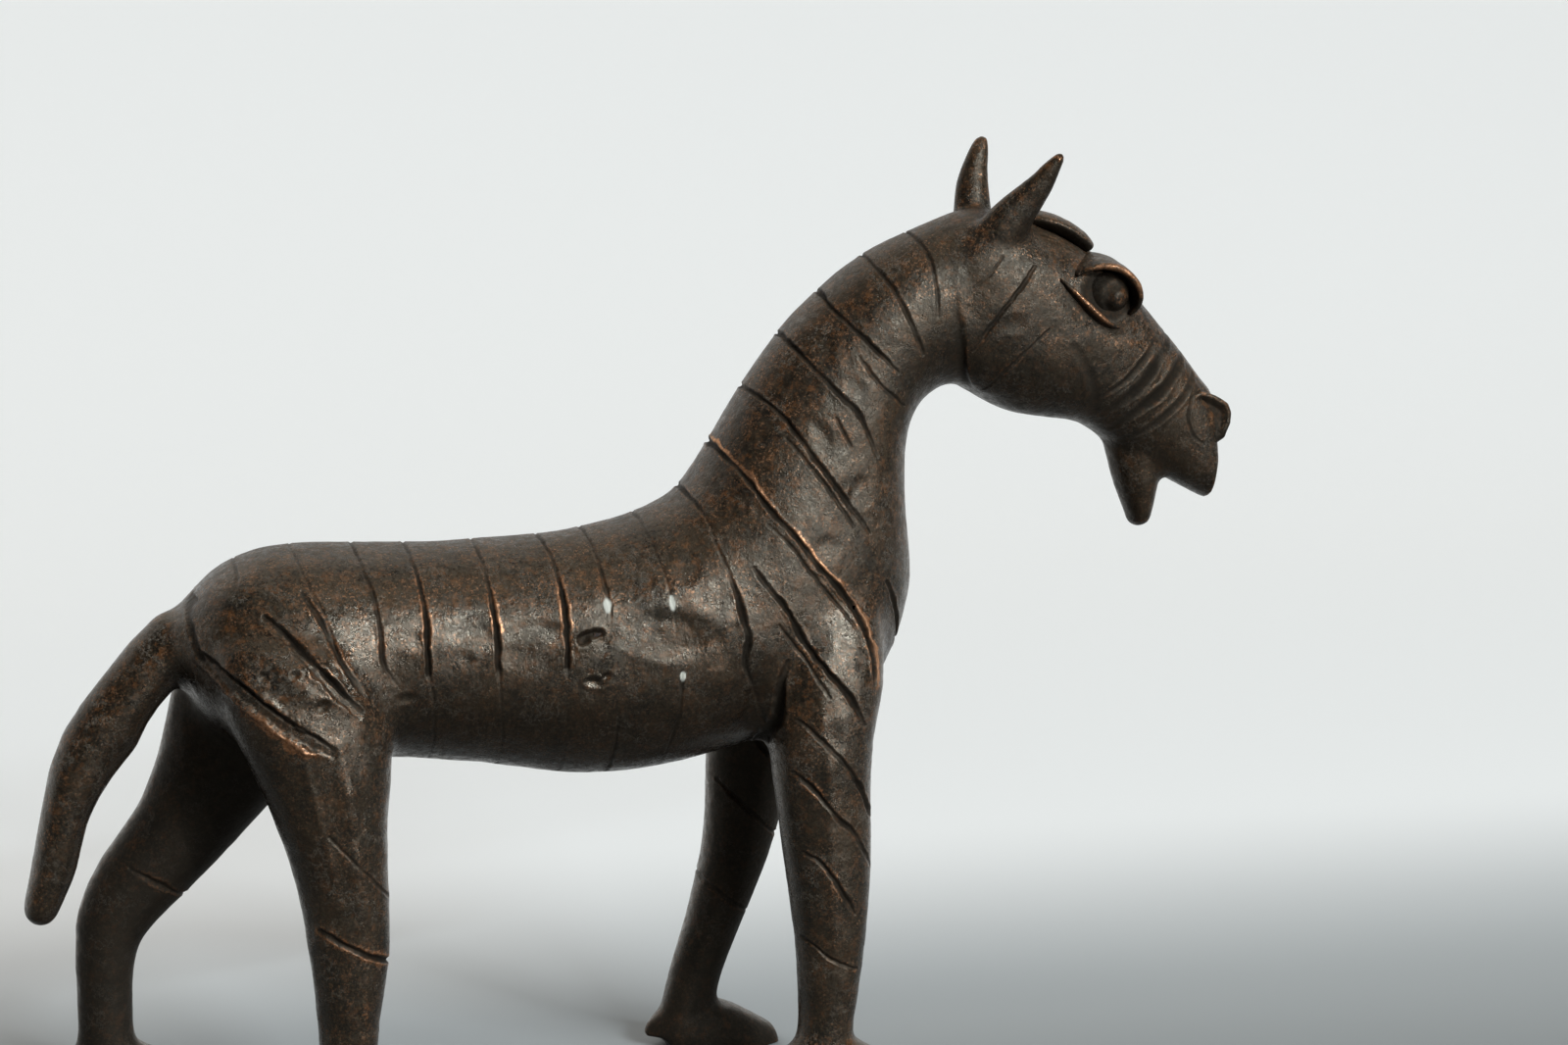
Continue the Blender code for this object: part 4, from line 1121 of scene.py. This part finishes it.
def lid(path, lean):
    """A strip that stands out sideways from the head, with its root spreading away from the eye."""
    line = spline(path, 6)
    ahead = np.gradient(line[:, [0, 2]], axis=0)
    ahead /= np.linalg.norm(ahead, axis=1, keepdims=True)
    rings = []
    for (x, y, z, thick), (run_x, run_z) in zip(line, ahead):
        out = np.array((-run_z, run_x))
        if out @ np.array((x - EYE_X, z - EYE_Z)) < 0:
            out = -out
        profile = ((0.5 * thick, y - 0.45), (0.3 * thick, y), (-0.3 * thick, y), (-0.5 * thick, y - 0.45),
                   (-0.5 * thick, LID_ROOT), (0.6 * thick + lean, LID_ROOT), (0.55 * thick + 0.3 * lean, y - 2.5))
        rings.append(np.array([(x + out[0] * u, v, z + out[1] * u) for u, v in profile]))
    return tube(rings)


def lid_paint(points):
    outward = smoothstep(9.6, 11.1, points[:, 1])
    inner = smoothstep(4.6, 3.6, np.hypot((points[:, 0] - EYE_X) / 1.15, points[:, 2] - EYE_Z))
    # Painted shade on the lid's side that faces the eye; copper along its outer rim.
    return 0.8 * inner * (1 - outward), 0.62 * smoothstep(10.0, 10.8, points[:, 1])


PUPIL_X, PUPIL_Z = 70.2, 114.9


def eyeball():
    """A low dome with a raised pupil and the creases pressed round it."""
    form = bmesh.new()
    bmesh.ops.create_icosphere(form, subdivisions=5, radius=1)
    points = np.array([vert.co for vert in form.verts])
    faces = [tuple(vert.index for vert in face.verts) for face in form.faces]
    form.free()
    return points * np.array((3.5, 2.6, 3.3)) + np.array((EYE_X, 7.2, EYE_Z)), faces


def eyeball_shape(points, normals):
    away = np.hypot(points[:, 0] - PUPIL_X, points[:, 2] - PUPIL_Z)
    outer = smoothstep(7.7, 8.7, points[:, 1])
    behind = smoothstep(0.5, -1.0, points[:, 0] - PUPIL_X)
    lift = 0.5 * smoothstep(1.9, 0.7, away) - 0.16 * behind * np.exp(-((away - 2.2) / 0.4) ** 2)
    return points + normals * (outer * lift)[:, None]


def eyeball_paint(points):
    away = np.hypot(points[:, 0] - PUPIL_X, points[:, 2] - PUPIL_Z)
    # Painted shade: the ball darkens away from the pupil, in the crease round it and towards its edge under the lids.
    dirt_and_shade = 0.4 * smoothstep(1.3, 1.9, away) + 0.3 * np.exp(-((away - 2.2) / 0.5) ** 2) + 0.5 * smoothstep(2.6, 3.6, away)
    return np.clip(dirt_and_shade, 0, 1), 0.4 * smoothstep(1.3, 0.5, away)


NOSTRIL = ((84.3, 94.0), (83.4, 99.8), (85.0, 100.4), (87.2, 99.7), (89.4, 98.4), (90.0, 97.0), (89.8, 95.2),
           (88.9, 93.2), (87.6, 92.4), (86.0, 93.2))
NOSTRIL_INSIDE, NOSTRIL_OUTSIDE = 2.5, 5.8


def nostril():
    """A flat wing beside the nose; shaping gives it a raised rim."""
    rings = []
    for y in (NOSTRIL_INSIDE, NOSTRIL_OUTSIDE):
        rings.append(np.array([(x, y - 0.12 * max(0, x - 86), z) for x, z in NOSTRIL]))
    return tube(rings)


def nostril_rim(points):
    closed = np.array([(x, z, 1) for x, z in NOSTRIL + NOSTRIL[:1]])
    distance, _ = beside(points[:, [0, 2]], closed)
    return np.abs(distance)


def nostril_shape(points, normals):
    outer = smoothstep(0.3, 0.8, normals[:, 1])
    bottom = smoothstep(94.5, 93.0, points[:, 2])
    hollow = outer * (0.6 * smoothstep(0.5, 1.7, nostril_rim(points)) + 0.4 * bottom)
    return points - np.array((0, 1, 0)) * hollow[:, None]


def nostril_paint(points):
    rim = smoothstep(1.0, 0.2, nostril_rim(points)) * smoothstep(5.2, 6.0, points[:, 1] + 0.12 * np.maximum(0, points[:, 0] - 86))
    low = smoothstep(95.0, 93.2, points[:, 2])
    corner = smoothstep(4.0, 1.0, np.hypot(points[:, 0] - 84.0, points[:, 2] - 99.8))
    hollow = 0.6 * smoothstep(0.8, 1.8, nostril_rim(points))
    # Painted shade in the nostril's hollow and along its bottom.
    return np.maximum(0.8 * low, hollow), rim * (1 - low) * (0.25 + 0.4 * corner)


def face_pieces():
    wax_pair("upper_eyelid", *lid(UPPER_LID, 1.0), 8, "worn_bronze", lid_paint)
    wax_pair("lower_eyelid", *lid(LOWER_LID, 1.8), 8, "worn_bronze", lid_paint)
    wax_pair("eyeball", *eyeball(), 4, "bronze", eyeball_paint, eyeball_shape)
    forelock_piece()
    wax_pair("nostril", *nostril(), 12, "bronze", nostril_paint, nostril_shape)


face_pieces()


# ---------------------------------------------------------------- floor, light and camera
FLOOR_HALF_WIDTH = 8.0
FLOOR_FRONT = -8.0
SWEEP_START = 0.45
SWEEP_RADIUS = 0.6
WALL_HEIGHT = 5.0
SWEEP_STEPS = 24
NEAR_GLOW = 0.44
BACKDROP_GLOW = 0.09
FAR_GLOW = 0.5


def plain_sheet():
    """A pale floor that sweeps up into a backdrop."""
    profile = [(FLOOR_FRONT, 0.0)]
    for k in range(SWEEP_STEPS + 1):
        turn = math.pi / 2 * k / SWEEP_STEPS
        profile.append((SWEEP_START + SWEEP_RADIUS * math.sin(turn), SWEEP_RADIUS * (1 - math.cos(turn))))
    profile.append((SWEEP_START + SWEEP_RADIUS, WALL_HEIGHT))
    corners = [(x, y, z) for y, z in profile for x in (-FLOOR_HALF_WIDTH, FLOOR_HALF_WIDTH)]
    quads = [(2 * k, 2 * k + 1, 2 * k + 3, 2 * k + 2) for k in range(len(profile) - 1)]
    mesh = bpy.data.meshes.new("floor")
    mesh.from_pydata(corners, [], quads)
    mesh.shade_smooth()
    floor = bpy.data.objects.new("floor", mesh)
    bpy.context.scene.collection.objects.link(floor)
    g = Graph("pale_floor")
    split = g.node("SeparateXYZ", {0: g.place}).outputs
    back = split["Y"]
    # Painted shade: the floor is darker in front of the horse than behind it.
    tone = g.mix(g.step(back, -60, 60), (0.27, 0.275, 0.27), (0.50, 0.51, 0.505))
    # Painted light: the floor behind the horse and the backdrop glow, and light the horse too.
    glow = g.math("ADD", g.math("MULTIPLY", g.step(back, 20, 150), NEAR_GLOW),
                  g.math("MULTIPLY", g.step(back, 150, 800), BACKDROP_GLOW))
    # The rest of the floor is lit only as far as the camera sees it, so the horse's light stays as it is.
    far = g.math("MAXIMUM", g.step(g.math("ABSOLUTE", split["X"]), 650, 1500),
                 g.step(g.math("MULTIPLY", back, -1.0), 80, 900))
    far = g.math("MULTIPLY", far, g.node("LightPath").outputs["Is Camera Ray"])
    glow = g.math("MAXIMUM", glow, g.math("MULTIPLY", far, FAR_GLOW))
    mesh.materials.append(g.finish(Base_Color=tone, Roughness=0.75, Emission_Color=(0.96, 0.965, 0.948, 1),
                                   Emission_Strength=glow))


def aim(azimuth, elevation):
    """The direction from the horse to a place seen at azimuth and elevation."""
    turn, rise = math.radians(azimuth), math.radians(elevation)
    return Vector((math.sin(turn) * math.cos(rise), -math.cos(turn) * math.cos(rise), math.sin(rise)))


def placed(name, data, target, away, distance):
    shape = bpy.data.objects.new(name, data)
    bpy.context.scene.collection.objects.link(shape)
    shape.location = target + away * distance
    shape.rotation_euler = (-away).to_track_quat("-Z", "Y").to_euler()
    return shape


def light(name, azimuth, elevation, distance, size, power, tint=(1, 1, 1)):
    lamp = bpy.data.lights.new(name, "AREA")
    lamp.shape = "RECTANGLE"
    lamp.size, lamp.size_y = size
    lamp.energy = power
    lamp.color = tint
    placed(name, lamp, Vector((0, 0, 0.07)), aim(azimuth, elevation), distance)


def world():
    sky = bpy.data.worlds.new("studio")
    sky.use_nodes = True
    sky.node_tree.nodes["Background"].inputs["Color"].default_value = (0.90, 0.93, 0.94, 1)
    strength = sky.node_tree.nodes.new("ShaderNodeMapRange")
    strength.inputs["To Min"].default_value = 0.04
    strength.inputs["To Max"].default_value = 0.6
    path = sky.node_tree.nodes.new("ShaderNodeLightPath")
    sky.node_tree.links.new(path.outputs["Is Camera Ray"], strength.inputs["Value"])
    sky.node_tree.links.new(strength.outputs["Result"], sky.node_tree.nodes["Background"].inputs["Strength"])
    bpy.context.scene.world = sky
    bpy.context.scene.view_settings.view_transform = "Standard"


CAMERA_AZIMUTH = -15.0
CAMERA_ELEVATION = 8.5
CAMERA_DISTANCE = 0.560
CAMERA_TARGET = (0.0215, 0.0, 0.0821)
LENS = 86.9


def camera():
    lens = bpy.data.cameras.new("camera")
    lens.lens = LENS
    lens.sensor_width = 36
    away = aim(CAMERA_AZIMUTH, CAMERA_ELEVATION)
    shape = placed("camera", lens, Vector(CAMERA_TARGET), away, CAMERA_DISTANCE)
    bpy.context.scene.camera = shape


for name in INNER:
    frame["nodes"][name].data.materials[0] = clay_material() if name == "clay_core" else iron_material()
plain_sheet()
light("window", 26, 26, 1.3, (0.7, 0.036), 14.5, (0.82, 0.93, 1.0))
light("doorway", 28, 3, 1.3, (0.05, 0.4), 4.6, (0.95, 0.98, 1.0))
light("ceiling", 15, 66, 1.4, (0.6, 0.6), 1.6, (1.0, 0.92, 0.80))
light("rear", 205, 38, 1.4, (0.7, 0.4), 1.6, (1.0, 0.94, 0.86))
world()
camera()
